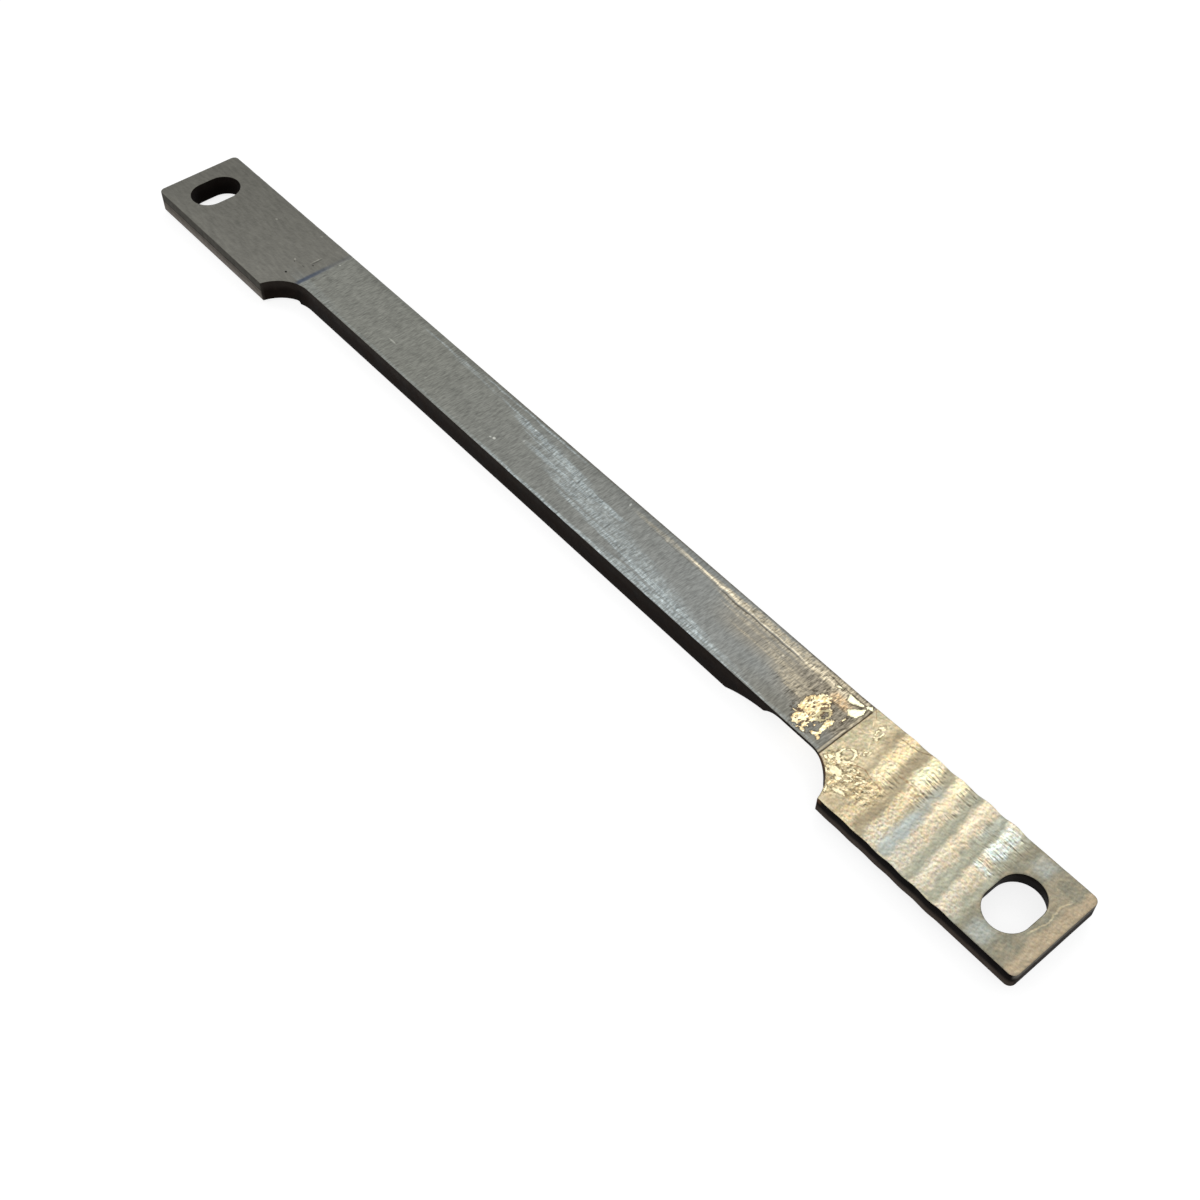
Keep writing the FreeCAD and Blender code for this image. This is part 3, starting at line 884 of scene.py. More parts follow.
groundLook = {
    "plainFar": tone(104, 103, 96),
    "plainNear": tone(119, 118, 111),
    "bar": tone(128, 129, 122),
    "barMiddle": tone(129, 131, 128),
    # painted reflection colour of the streaks across the bar
    "paintedReflection": tone(168, 177, 178),
    "stain": tone(66, 76, 94),
    "gold": tone(184, 173, 149),
    # the painted highlight lines' colour
    "goldHighlight": tone(226, 215, 190),
    "orange": tone(206, 176, 136),
    "dark": tone(84, 76, 62),
    "warmShade": tone(126, 117, 100),
    "warmSteel": tone(148, 138, 119),
    "lowShade": tone(118, 116, 107),
    "splash": tone(239, 224, 182),
    "splashHigh": tone(240, 240, 206),
    "splashDeep": tone(204, 178, 132),
    "splashGrey": tone(158, 150, 118),
    "splashShade": tone(146, 118, 88),
    "splashRim": tone(62, 50, 40),
    "level": 0.95,
    # fades (x0, x1, y0, y1) and areas (x0, x1, y0, y1, softX, softY), in mm
    "dull": (27.0, 37.0, 0.6, -1.0),
    "browned": (31.0, 38.5, -0.9, 0.9),
    "warmed": (25.0, 37.5, 1.5, 4.1, 3.0, 1.0),
    "scorched": (38.6, 40.8, 3.0, 4.05, 0.4, 0.3),
    # streaks (x0, y0, x1, y1, half width, fade, strength); the cool streaks and crisp lines are painted
    # reflections
    "paintedReflections": [
        (-28, 4.66, -15.2, 4.62, 0.2, 2.6, 0.42), (-22, 4.38, -12, 4.3, 0.22, 3, 0.25),
        (-14, 4.3, -5, 4.12, 0.2, 3, 0.42), (-18, 5.04, 2.5, 5.06, 0.18, 4, 0.5),
        (-9, 4.3, 28, -1.9, 1.6, 8, 0.42), (-11, 4.02, 5, 3.2, 0.6, 4, 0.72),
        (-1.5, 2.72, 12, 2.6, 0.48, 4, 0.74), (-7, 2.16, 9, 2.02, 0.5, 5, 0.68),
        (-3, 1.4, 12, 0.88, 0.6, 5, 0.62), (0, 0.36, 15, 0.2, 0.34, 4, 0.6),
        (5, 0.0, 22, -0.35, 0.3, 4, 0.66), (11, -0.46, 28, -0.9, 0.36, 5, 0.78),
        (8, -1.32, 33, -1.32, 0.38, 9, 0.8), (9, 1.35, 18, 1.25, 0.36, 3, 0.3),
        (-45, -1.72, 44, -1.72, 0.24, 1, 0.2), (-14, -1.74, 34, -1.74, 0.26, 12, 0.66),
        (-47, -1.0, -34, -1.6, 0.8, 5, 0.14),
    ],
    "reflectionLines": [
        (-12.5, 4.2, -3, 4.06, 0.07, 3, 0.6), (-12, 5.12, -1, 5.0, 0.06, 3, 0.5),
        (-8.5, 3.12, 9, 2.9, 0.11, 3, 0.75), (-5, 3.84, 3, 3.7, 0.05, 3, 0.4),
        (-7, 2.25, 5, 2.2, 0.05, 3, 0.35), (3, 0.22, 10, 0.12, 0.06, 2, 0.5),
        (9, -0.12, 23, -0.48, 0.07, 4, 0.8), (5.5, 1.42, 12, 1.38, 0.05, 3, 0.35),
        (-12, -1.84, 40, -1.84, 0.09, 6, 0.8), (12, -0.6, 26, -1.0, 0.06, 4, 0.4),
        (0, 1.75, 6, 1.7, 0.05, 2, 0.3),
    ],
    # gold bands: partly heat tint, partly painted reflection
    "goldTintAndReflections": [
        (8, 4.6, 20, 4.6, 0.34, 4, 0.3), (15, 4.58, 26, 4.5, 0.4, 3, 0.42),
        (19, 4.62, 44, 4.74, 0.36, 3, 0.72), (24.5, 5.0, 44, 5.1, 0.32, 3, 0.62),
        (33, 4.4, 42, 4.3, 0.5, 2, 0.92), (20.5, 3.95, 38, 3.9, 0.32, 4, 0.42),
        (23, 3.4, 36, 3.15, 0.36, 4, 0.3), (22.5, 3.32, 36, 3.05, 0.11, 3, 0.4),
        (25, 2.25, 38, 2.1, 0.18, 3, 0.34), (28.5, 2.75, 38.5, 2.3, 0.5, 4, 0.42),
        (31.5, 1.8, 38.6, 1.35, 0.6, 3, 0.5), (34, 1.12, 37.4, 1.05, 0.24, 1, 0.6),
    ],
    # painted highlight lines
    "highlightLines": [
        (15.5, 4.66, 28, 4.42, 0.2, 4, 0.95), (22, 4.4, 37, 4.36, 0.13, 4, 0.8),
        (33.5, 4.42, 39.6, 4.45, 0.2, 1, 0.5), (14.1, 4.3, 14.8, 4.35, 0.2, 0.3, 0.25),
    ],
    "darkLines": [
        (10, 4.24, 24, 4.18, 0.09, 4, 0.35), (21, 4.16, 35, 4.1, 0.1, 3, 0.8),
        (36.3, 5.02, 39.4, 4.7, 0.13, 0.6, 0.7), (38.9, 4.9, 42.4, 4.93, 0.1, 0.3, 0.85),
        (40.3, 3.85, 41.9, 4.72, 0.16, 0.2, 0.8), (36.8, 3.9, 38.6, 3.5, 0.3, 0.6, 0.35),
        (38.2, 3.0, 40.8, 2.95, 0.18, 0.3, 0.5),
    ],
    # (x, y, half length, half width, turn, brightness)
    "marks": [
        (-45.4, -2.05, 0.18, 0.15, 0, 0.05), (-46.62, 0.02, 0.24, 0.14, -35, 1.8),
        (-46.4, -0.2, 0.2, 0.1, -35, 0.55), (-54.4, 2.5, 0.2, 0.14, 0, 1.8),
        (-42.35, 3.45, 0.15, 0.15, 0, 1.7), (-44.3, 1.0, 0.16, 0.12, 0, 0.45),
        (-44.9, 0.05, 0.3, 0.08, 0, 0.55), (-44.78, 1.7, 0.09, 0.85, 0, 1.6),
        (-44.56, 1.75, 0.09, 0.8, 0, 0.6), (-48.1, 4.8, 0.22, 0.16, 0, 1.4),
        (-8.2, -0.1, 0.2, 0.17, 0, 2.7), (-8.62, -0.28, 0.15, 0.12, 20, 2.0),
        (8.35, 4.75, 0.12, 0.24, 15, 2.0), (-27.6, 0.52, 0.7, 0.12, 0, 1.7),
        (-20.5, -0.2, 0.18, 0.14, 0, 1.3), (-5.85, 2.05, 0.12, 0.2, 0, 1.5),
        (-6.1, 4.05, 0.4, 0.1, 0, 1.35), (14.45, 4.4, 0.07, 0.45, 0, 1.3),
        (32.4, 3.15, 0.13, 0.16, 0, 1.7), (28.7, 4.3, 0.3, 0.12, 0, 1.35),
        (34.1, -1.6, 0.18, 0.1, 0, 1.5), (37.0, 3.7, 0.1, 0.12, 0, 1.6),
        (1.7, -1.05, 0.12, 0.18, 0, 1.3),
    ],
}


# In the finishes below, a span's numbers are places in mm or levels of a noise, and a grain's are its cells
# to a millimetre along and across, its detail and its shift.
def steelTones(b):
    # the plain tab grows lighter towards the bar, and the bar browner and duller towards the cutting tab
    look = groundLook
    onBar = b.span(b.x, plainStep - 0.05, plainStep + 0.12)
    cornerward = b.calc("MULTIPLY_ADD", b.y, -1.2, b.x)
    plain = b.mix(b.span(cornerward, -72.0, -38.0), look["plainFar"], look["plainNear"])
    bar = b.mix(b.ramp(b.x, -22.0, 18.0, 0.0, 1.0), look["bar"], look["barMiddle"])
    bar = b.scaled(bar, b.span(b.y, 4.4, 5.2, 1.0, b.span(b.x, 20.0, 27.0, 0.88, 1.0)))
    colour = b.mix(onBar, plain, bar)
    browned = b.fade(*look["browned"])
    colour = b.mix(b.times(b.fade(*look["dull"]), 0.8), colour, look["lowShade"])
    colour = b.mix(b.times(browned, 0.8), colour, look["warmShade"])
    colour = b.mix(b.times(b.area(*look["warmed"]), 0.42), colour, look["warmSteel"])
    return colour, onBar, browned


def addPaintedReflections(b, colour):
    # painted reflections: cool bright streaks that cross the bar one below another, broken by the grinding
    # lines, and crisp painted highlight lines, some along the lower edge
    look = groundLook
    drawn = b.ramp(b.grain(0.45, 4.5, 3.0, 5.0, 0.6), 0.3, 0.7, 0.6, 1.1)
    broken = b.add(drawn, b.ramp(b.grain(3.2, 3.2, 3.0, 25.0, 0.6), 0.3, 0.7, -0.6, 0.62))
    streaks = b.times(b.streaks(look["paintedReflections"]), broken)
    crispReflections = b.streaks(look["reflectionLines"])
    crispReflections = b.times(crispReflections, b.span(b.grain(1.6, 1.6, 2.0, 45.0), 0.36, 0.56, 0.2, 1.0))
    streaks = b.add(streaks, b.times(crispReflections, 0.65))
    return b.mix(streaks, colour, look["paintedReflection"]), streaks


def addHeatTintAndSheen(b, colour, lines):
    # gold by the straight edge, in its corner and in thin lines beside it, partly heat tint and partly
    # painted reflection, then painted highlight lines and dark lines
    look = groundLook
    tinted = b.grain(3.0, 2.4, 3.0, 9.0, 0.6)
    gold = b.streaks(look["goldTintAndReflections"])
    corner = b.times(
        b.span(b.x, 37.4, 38.6), b.span(b.y, 2.9, 3.3),
        b.span(b.calc("MULTIPLY_ADD", b.x, 0.7, b.y), 33.4, 32.6))
    gold = b.times(b.most(gold, b.times(corner, 0.75)), b.span(tinted, 0.32, 0.6, 0.4, 1.15))
    colour = b.mix(gold, colour, look["gold"])
    scorched = b.times(b.area(*look["scorched"]), b.span(tinted, 0.36, 0.58, 0.3, 1.0), 0.85)
    colour = b.mix(scorched, colour, look["orange"])
    bright = b.times(b.streaks(look["highlightLines"]), b.span(lines, 0.3, 0.55, 0.45, 1.0))
    colour = b.mix(bright, colour, look["goldHighlight"])
    uneven = b.span(b.grain(1.8, 1.8, 2.0, 3.0), 0.3, 0.55, 0.55, 1.0)
    dark = b.streaks(look["darkLines"])
    dark = b.most(dark, b.times(b.span(b.y, 5.22, 5.4), b.span(b.x, -34.0, 0.0), 0.5))
    colour = b.mix(b.times(dark, uneven), colour, look["dark"])
    return colour, gold, uneven


def addStepLines(b, colour, uneven):
    # the scribed step as a dark, a pale and a dark line, and a stain where the plain tab meets the bar
    look = groundLook
    stops = b.times(b.span(b.y, 4.98, 4.85), uneven)
    shadow = b.band(b.x, cuttingStep - 0.5, cuttingStep - 0.38, 0.05)
    colour = b.mix(b.times(shadow, stops, 0.4), colour, look["dark"])
    lip = b.band(b.x, cuttingStep - 0.34, cuttingStep - 0.14, 0.05)
    colour = b.mix(b.times(lip, stops, 0.75), colour, look["gold"])
    groove = b.span(b.x, cuttingStep - 0.14, cuttingStep - 0.08)
    colour = b.mix(b.times(groove, stops, 0.95), colour, look["dark"])
    stain = b.times(
        b.band(b.x, plainStep - 0.46, plainStep + 0.12, 0.2),
        b.span(b.y, 4.2, -1.0, 0.25, 1.0), b.span(b.y, -2.8, -2.0))
    stain = b.times(stain, b.span(b.grain(1.2, 1.0, 2.0, 8.0), 0.3, 0.6, 0.5, 0.85))
    return b.mix(stain, colour, look["stain"])


def splashMetal(b):
    # cream braze with deeper hollows and lit sides, greyer in its ring and paler by the straight edge
    look = groundLook
    knobs = b.chased(2.6, 1.9, 3.0, 6.0, 0.09)
    inner = b.mix(b.span(b.grain(3.6, 2.2, 3.0, 6.0), 0.45, 0.62), look["splash"], look["splashDeep"])
    inner = b.scaled(inner, b.ramp(knobs, -0.2, 0.2, 0.5, 1.55))
    pale = b.span(b.y, 4.5, 4.55)
    grey = b.times(b.span(b.spot(39.75, 1.15, 0.6, 0.95), 1.1, 0.85), 0.8)
    inner = b.mix(grey, inner, look["splashGrey"])
    pale = b.most(b.times(b.span(b.y, 2.8, 3.2), b.span(b.x, 39.2, 39.6)), pale)
    return b.mix(b.times(pale, 0.85), inner, look["splashHigh"]), knobs


def groundSteel():
    # the bar and the plain tab: tones, painted reflection streaks, heat colours with painted reflection and
    # highlight lines, step lines, grain with painted pit shading, marks and splashes
    look = groundLook
    b = Bench("groundSteel")
    colour, onBar, browned = steelTones(b)
    lines = b.grain(3.2, 0.9, 3.0, 1.0, 0.6)
    hair = b.grain(7.0, 1.3, 2.0, 6.0, 0.5)
    colour, streaks = addPaintedReflections(b, colour)
    colour, gold, uneven = addHeatTintAndSheen(b, colour, lines)
    colour = addStepLines(b, colour, uneven)

    # grinding lines across the bar, rolling grain along the plain tab, and small pits painted with a lit and
    # a shaded side
    rolled = b.grain(0.8, 2.6, 3.0, 2.0, 0.6)
    hatch = b.add(b.ramp(lines, 0.25, 0.75, -0.2, 0.2), b.ramp(hair, 0.25, 0.75, -0.36, 0.36))
    lively = b.add(0.8, b.add(b.times(streaks, 0.9), b.times(b.most(gold, browned), 1.2)))
    lengthwise = b.ramp(rolled, 0.25, 0.75, -0.19, 0.19)
    fine = b.add(b.times(hatch, onBar, lively), b.times(lengthwise, b.calc("SUBTRACT", 1.0, onBar)))
    cloud = b.ramp(b.grain(0.25, 0.5, 2.0, 7.0), 0.3, 0.7, 0.95, 1.05)
    # painted light and shade on the sides of small pits
    pitShading = b.chased(3.2, 3.2, 3.0, 14.0, 0.08)
    pitShading = b.times(pitShading, b.add(0.25, b.times(b.most(gold, b.times(browned, 0.8)), 1.3)))
    colour = b.scaled(colour, b.add(b.add(cloud, fine), pitShading))
    for cx, cy, rx, ry, turn, amount in look["marks"]:
        colour = b.scaled(colour, b.span(b.spot(cx, cy, rx, ry, turn), 0.6, 1.2, amount, 1.0))

    # splashes, with a dark rim and a brownish ground round them
    depth = b.splashDepth()
    near = b.span(b.x, 36.0, 36.5)
    rim = b.times(b.band(depth, -0.09, -0.01, 0.035), near)
    rim = b.times(rim, b.span(b.grain(2.5, 2.5, 2.0, 40.0), 0.35, 0.55, 0.3, 1.0))
    fill = b.times(b.span(depth, -0.02, 0.02), near)
    inner, knobs = splashMetal(b)
    colour = b.mix(b.span(b.spot(38.55, 0.9, 1.2, 2.25), 1.05, 0.8, 0.0, 0.7), colour, look["splashShade"])
    colour = b.mix(b.times(rim, 0.7), colour, look["splashRim"])
    colour = b.scaled(colour, look["level"])
    colour = b.mix(fill, colour, inner)

    roughness = b.ramp(lines, 0.2, 0.8, 0.33, 0.46)
    roughness = b.calc("SUBTRACT", roughness, b.times(fill, 0.1))
    height = b.add(b.mixValue(onBar, lengthwise, hatch), b.times(knobs, fill))
    return b.finish(colour, roughness, height, 1.0, 0.012)


tabLook = {
    "first": tone(205, 191, 161),
    # crest and valley tones: partly heat tint, partly painted reflection in the crests
    "crest": tone(244, 225, 184),
    "crestFar": tone(240, 226, 197),
    "crestLow": tone(216, 209, 190),
    # colours of the painted highlight patches
    "yellowHighlight": tone(255, 250, 212),
    "cyanHighlight": tone(236, 248, 240),
    "valley": tone(176, 164, 136),
    "valleyFar": tone(172, 172, 153),
    "bluish": tone(184, 192, 188),
    "greenish": tone(184, 180, 148),
    "round": tone(142, 139, 122),
    "endBand": tone(184, 168, 142),
    "hair": tone(116, 102, 76),
    "bubble": tone(210, 190, 147),
    "rust": tone(146, 110, 78),
    "bubbleDark": tone(146, 116, 76),
    # painted glints on the bubbles' rims
    "bubbleHighlight": tone(255, 250, 216),
    "splash": tone(255, 244, 204),
    "splashRim": tone(104, 84, 56),
    "warm": (1.12, 1.0, 0.84, 1.0),
    "cool": (0.9, 1.0, 1.15, 1.0),
    "green": (0.95, 1.08, 0.95, 1.0),
    "pink": (1.06, 0.93, 1.04, 1.0),
    "level": 0.75,
    "bubbled": [(44.9, 49.4, -3.4, -0.6, 0.7, 0.5), (43.0, 46.4, -4.6, -0.4, 0.5, 0.5)],
    "crease": [(45.9, 4.6), (47.4, 4.75), (48.6, 5.2), (49.4, 5.55)],
    "crack": [(44.9, -1.2), (45.6, -0.5), (46.4, -0.2), (47.4, -0.55), (48.4, -0.6), (49.1, -0.95)],
    "scratch": [(42.4, 5.5), (43.4, 4.4)],
    "worms": (1.7, 1.9, 2.0, 61.0),           # the bubbled skin's noise, read twice
    # patches (x0, x1, y0, y1, softX, softY, strength); the yellow and cyan ones are painted highlights
    "yellowHighlightPatches": [
        (49.2, 51.2, 1.9, 5.3, 0.6, 0.6, 1.0), (52.3, 54.0, 4.1, 5.4, 0.4, 0.4, 0.9),
        (46.5, 48.5, -0.8, 2.0, 0.7, 0.8, 0.3),
    ],
    "cyanHighlightPatches": [
        (57.9, 60.6, 1.6, 5.3, 0.5, 0.4, 0.85), (58.9, 61.1, 1.3, 2.9, 0.4, 0.3, 0.9),
        (58.8, 61.5, -0.15, 0.5, 0.5, 0.2, 0.9),
    ],
    "bluePatches": [
        (52.2, 53.8, -5.5, 0.4, 0.5, 1.2, 0.8), (53.2, 54.8, -5.5, -1.8, 0.6, 1.0, 0.5),
        (51.9, 53.2, 0.6, 3.6, 0.5, 0.8, 0.45), (57.4, 58.3, 2.5, 5.5, 0.4, 0.8, 0.25),
        (62.8, 64.8, -5.4, -3.5, 0.6, 0.5, 0.7), (62.4, 64.2, 3.5, 5.3, 0.6, 0.5, 0.6),
    ],
    # soft smears on the flat skin beside the step (x0, y0, x1, y1, half width, fade, strength)
    "smears": [
        (42.7, 4.5, 44.3, 4.3, 0.4, 0.5, 0.6), (44.0, 3.3, 45.6, 2.6, 0.35, 0.5, 0.6),
        (42.7, 0.6, 44.0, -0.4, 0.3, 0.4, 0.6), (42.8, 4.9, 43.8, 3.4, 0.16, 0.3, 0.8),
        (43.3, 3.4, 44.4, 3.1, 0.2, 0.4, 0.7), (43.2, 2.3, 44.6, 3.5, 0.14, 0.3, 0.7),
        (44.5, 2.4, 45.4, 1.1, 0.16, 0.3, 0.8), (43.6, 1.8, 44.2, 0.6, 0.18, 0.3, 0.7),
        (44.7, 1.0, 45.5, -0.3, 0.2, 0.3, 0.7), (44.3, 4.9, 45.2, 4.3, 0.12, 0.3, 0.6),
        (46.6, 2.9, 49.0, 2.8, 0.1, 0.6, 0.4),
    ],
    "dark": tone(150, 134, 108),
    "shades": [
        (42.5, 43.3, 3.0, 5.0, 0.4, 1.2, 0.4), (49.5, 50.4, -5.5, -1.2, 0.4, 1.0, 0.6),
        (45.2, 46.1, 3.0, 5.3, 0.25, 0.6, 0.55), (43.9, 44.8, 0.8, 1.6, 0.3, 0.3, 0.35),
        (44.7, 45.6, 4.3, 5.4, 0.3, 0.3, 0.4), (48.4, 49.3, 1.8, 4.9, 0.3, 0.6, 0.45),
        (45.4, 47.0, -2.2, -0.5, 0.4, 0.4, 0.45), (47.2, 48.6, -4.2, -2.6, 0.5, 0.5, 0.3),
        (45.9, 47.2, -5.4, -4.2, 0.4, 0.4, 0.45),
    ],
    # where combed lines run beside the crests (x0, x1, y0, y1, softX, softY, strength)
    "combs": [
        (47.4, 49.8, -0.9, 2.6, 0.8, 0.5, 0.65), (49.8, 52.6, 0.2, 5.3, 0.7, 0.5, 1.0),
        (53.4, 55.6, 3.9, 5.6, 0.6, 0.5, 1.2), (53.6, 55.2, 0.4, 3.6, 0.6, 0.8, 0.6),
        (56.8, 58.6, 1.0, 5.0, 0.6, 1.0, 0.4), (58.4, 61.4, -0.2, 5.2, 0.7, 0.6, 0.7),
        (47.2, 49.2, 3.4, 5.4, 0.6, 0.6, 0.4),
    ],
}


def rippleTones(b, crest, blotch, speckle):
    # pale crests and darker valleys, partly heat tint and partly painted reflection in the crests, yellow,
    # cyan or blue in patches, the yellow and cyan ones painted highlights; the ripples drown in the bubbled
    # skin behind the notch
    look = tabLook
    far = b.span(b.x, 48.0, 57.0)
    high = b.mix(far, look["crest"], look["crestFar"])
    high = b.scaled(high, b.span(b.y, 3.0, -2.6, 1.0, b.span(b.x, 53.0, 57.0, 0.78, 0.88)))
    lowSide = b.times(b.span(b.y, -1.0, -3.6), b.span(b.x, 49.6, 51.4), 0.65)
    high = b.mix(lowSide, high, look["crestLow"])
    # painted highlights in yellow and cyan patches on the crests
    for *box, strength in look["yellowHighlightPatches"]:
        share = b.times(b.area(*box), strength, b.span(speckle, 0.3, 0.6, 0.6, 1.0))
        high = b.mix(share, high, look["yellowHighlight"])
    for *box, strength in look["cyanHighlightPatches"]:
        share = b.times(b.area(*box), strength, b.span(speckle, 0.35, 0.6, 0.45, 1.0))
        high = b.mix(share, high, look["cyanHighlight"])
    low = b.mix(far, look["valley"], look["valleyFar"])
    blue = b.areas(look["bluePatches"])
    low = b.mix(blue, low, look["bluish"])
    calm = b.fade(50.5, 47.5, 0.3, -1.5)
    uneven = b.calc("SUBTRACT", blotch, 0.5)
    level = b.calc("MULTIPLY_ADD", uneven, 0.9, b.mixValue(b.times(calm, 0.6), crest, 0.6))
    colour = b.mix(b.span(level, 0.06, 0.9), low, high)
    return b.mix(b.times(blue, 0.4), colour, look["bluish"]), level, blue


def flatTones(b, blotch, blue):
    # the skin beside the step and round the slot, where there are no ripples, with a band at the end
    look = tabLook
    plain = b.mix(b.span(blotch, 0.35, 0.65), look["first"], look["crest"])
    flat = b.mix(b.times(b.span(b.x, 43.4, 44.6), 0.45), look["first"], plain)
    flat = b.mix(b.span(b.x, 58.0, 60.5), flat, look["round"])
    brownish = b.times(b.span(b.grain(0.7, 0.5, 2.0, 15.0), 0.42, 0.6), b.span(b.x, 60.0, 61.5), 0.35)
    flat = b.mix(brownish, flat, look["endBand"])
    flat = b.mix(b.times(blue, 0.8), flat, look["bluish"])
    wavyX = b.calc("MULTIPLY_ADD", b.calc("SUBTRACT", b.grain(0.2, 0.5, 3.0, 1.0), 0.5), 1.6, b.x)
    flat = b.mix(b.times(b.span(wavyX, 66.8, 67.4), 0.9), flat, look["endBand"])
    trace = b.times(b.band(wavyX, 66.72, 66.86, 0.06), b.band(b.y, -1.5, 3.5, 0.5), 0.35)
    flat = b.mix(trace, flat, look["crest"])
    flat = b.mix(b.times(b.area(42.9, 45.3, -3.4, -0.7, 0.4, 0.4), 0.55), flat, look["crest"])
    greenish = b.times(b.span(b.grain(1.5, 1.1, 2.0, 77.0), 0.45, 0.6), b.span(b.x, 47.0, 45.0), 0.75)
    return b.mix(greenish, flat, look["greenish"])


def addHeatSpecks(b, colour, level, rippled, bubbled):
    # every grain a shade warmer or cooler, pinker or greener
    look = tabLook
    lively = b.times(b.span(level, 0.0, 0.9), rippled, b.span(b.x, 51.5, 53.5, 0.44, 0.26))
    lively = b.add(lively, b.add(b.span(b.x, 46.5, 45.0, 0.24, 0.42), b.times(bubbled, 0.3)))
    warmth = b.mix(b.ramp(b.grain(3.0, 3.0, 2.0, 21.0), 0.36, 0.64, 0.0, 1.0), look["cool"], look["warm"])
    tint = b.mix(b.ramp(b.grain(3.3, 3.3, 2.0, 33.0), 0.36, 0.64, 0.0, 1.0), look["green"], look["pink"])
    colour = b.mix(lively, colour, b.mix(1.0, colour, warmth, "MULTIPLY"))
    return b.mix(lively, colour, b.mix(1.0, colour, tint, "MULTIPLY")), lively


def addTabRelief(b, colour, lively, bubbled, blotch, speckle):
    # combed lines beside the crests, grains everywhere and worm-like bubbles behind the notch, each painted
    # into the colour with a lit and a shaded side, with painted shade on the combs' dark sides and painted
    # glints on the bubbles' rims
    look = tabLook
    falling = b.most(b.band(b.field("phase"), 0.56, 0.96, 0.12), b.times(b.span(b.x, 57.5, 58.5), 0.7))
    combs = b.times(b.areas(look["combs"]), falling, b.span(blotch, 0.34, 0.58, 0.15, 1.0))
    combed = b.chased(0.85, 4.0, 2.0, 12.0, 0.07)
    grains = b.chased(3.0, 3.0, 3.0, 26.0, 0.08)
    bubbles = b.chased(2.0, 2.2, 3.0, 30.0, 0.12)
    relief = b.add(b.times(combed, combs, 3.2), b.times(grains, b.add(lively, 0.12), 2.0))
    relief = b.add(relief, b.times(b.most(bubbles, -0.09), bubbled, 3.2))
    mottle = b.times(b.calc("SUBTRACT", speckle, 0.5), b.add(lively, 0.2), 0.9)
    colour = b.mix(b.times(bubbled, 0.5), colour, look["bubble"])
    worm = b.away(b.grain(*look["worms"]), 0.5)
    colour = b.mix(b.times(b.span(worm, 0.045, 0.0), bubbled, 0.75), colour, look["bubbleDark"])
    # painted glints beside the worm lines
    glint = b.away(b.grain(*look["worms"], 0.5, (0.1, -0.06)), 0.5)
    colour = b.mix(b.times(b.span(glint, 0.035, 0.0), bubbled, 0.6), colour, look["bubbleHighlight"])
    # painted shade on the combed lines' shaded sides
    colour = b.mix(b.times(b.span(combed, -0.02, -0.1), combs, 0.5), colour, look["hair"])
    # painted light and shade of the relief; the same relief is also the bump's height
    colour = b.scaled(colour, b.add(1.0, b.add(relief, mottle)))
    return colour, relief, mottle, bubbles


def addTabLines(b, colour, speckle):
    # a crease beside the straight edge, a rusty crack where the bubbled skin ends, and a scratch
    look = tabLook
    crease = b.times(b.along(look["crease"], 0.12), b.band(b.x, 46.0, 49.3, 0.3))
    colour = b.mix(b.times(crease, b.span(speckle, 0.35, 0.55, 0.2, 0.8)), colour, look["splashRim"])
    crack = b.times(b.along(look["crack"], 0.13), b.band(b.x, 45.2, 48.9, 0.2))
    rusty = b.times(b.area(48.7, 51.6, 0.8, 2.1, 0.4, 0.3), b.span(b.grain(1.2, 3.6, 2.0, 71.0), 0.5, 0.6))
    crack = b.times(crack, b.span(speckle, 0.35, 0.55, 0.3, 1.0))
    colour = b.mix(b.times(b.most(crack, b.times(rusty, 0.6)), 0.8), colour, look["rust"])
    scratch = b.times(b.along(look["scratch"], 0.12), b.band(b.x, 42.4, 43.25, 0.05))
    return b.mix(b.times(scratch, 0.6), colour, look["rust"])


def addTabSplashes(b, colour, bubbles):
    # dark rims, a dark line in the scribed step, flecks at the lower edge, and the braze itself, lit and
    # shaded by the bubbles' painted sides
    look = tabLook
    depth = b.splashDepth()
    rim = b.band(depth, -0.07, -0.01, 0.03)
    rim = b.times(rim, b.span(b.grain(2.0, 2.0, 2.0, 41.0), 0.35, 0.6, 0.2, 1.0))
    fill = b.span(depth, -0.01, 0.03)
    colour = b.mix(b.times(rim, 0.7), colour, look["splashRim"])
    groove = b.fade(cuttingStep + 0.1, cuttingStep + 0.05, 4.98, 4.85)
    colour = b.mix(b.times(groove, 0.9), colour, look["splashRim"])
    flecks = b.times(b.span(b.y, -5.4, -5.52), b.span(b.grain(1.4, 1.0, 2.0, 50.0), 0.5, 0.6))
    flecks = b.times(flecks, b.span(b.x, 62.0, 58.0))
    colour = b.mix(b.times(flecks, 0.5), colour, look["splash"])
    colour = b.scaled(colour, look["level"])
    return b.mix(fill, colour, b.scaled(look["splash"], b.ramp(bubbles, -0.15, 0.15, 0.7, 1.05)))


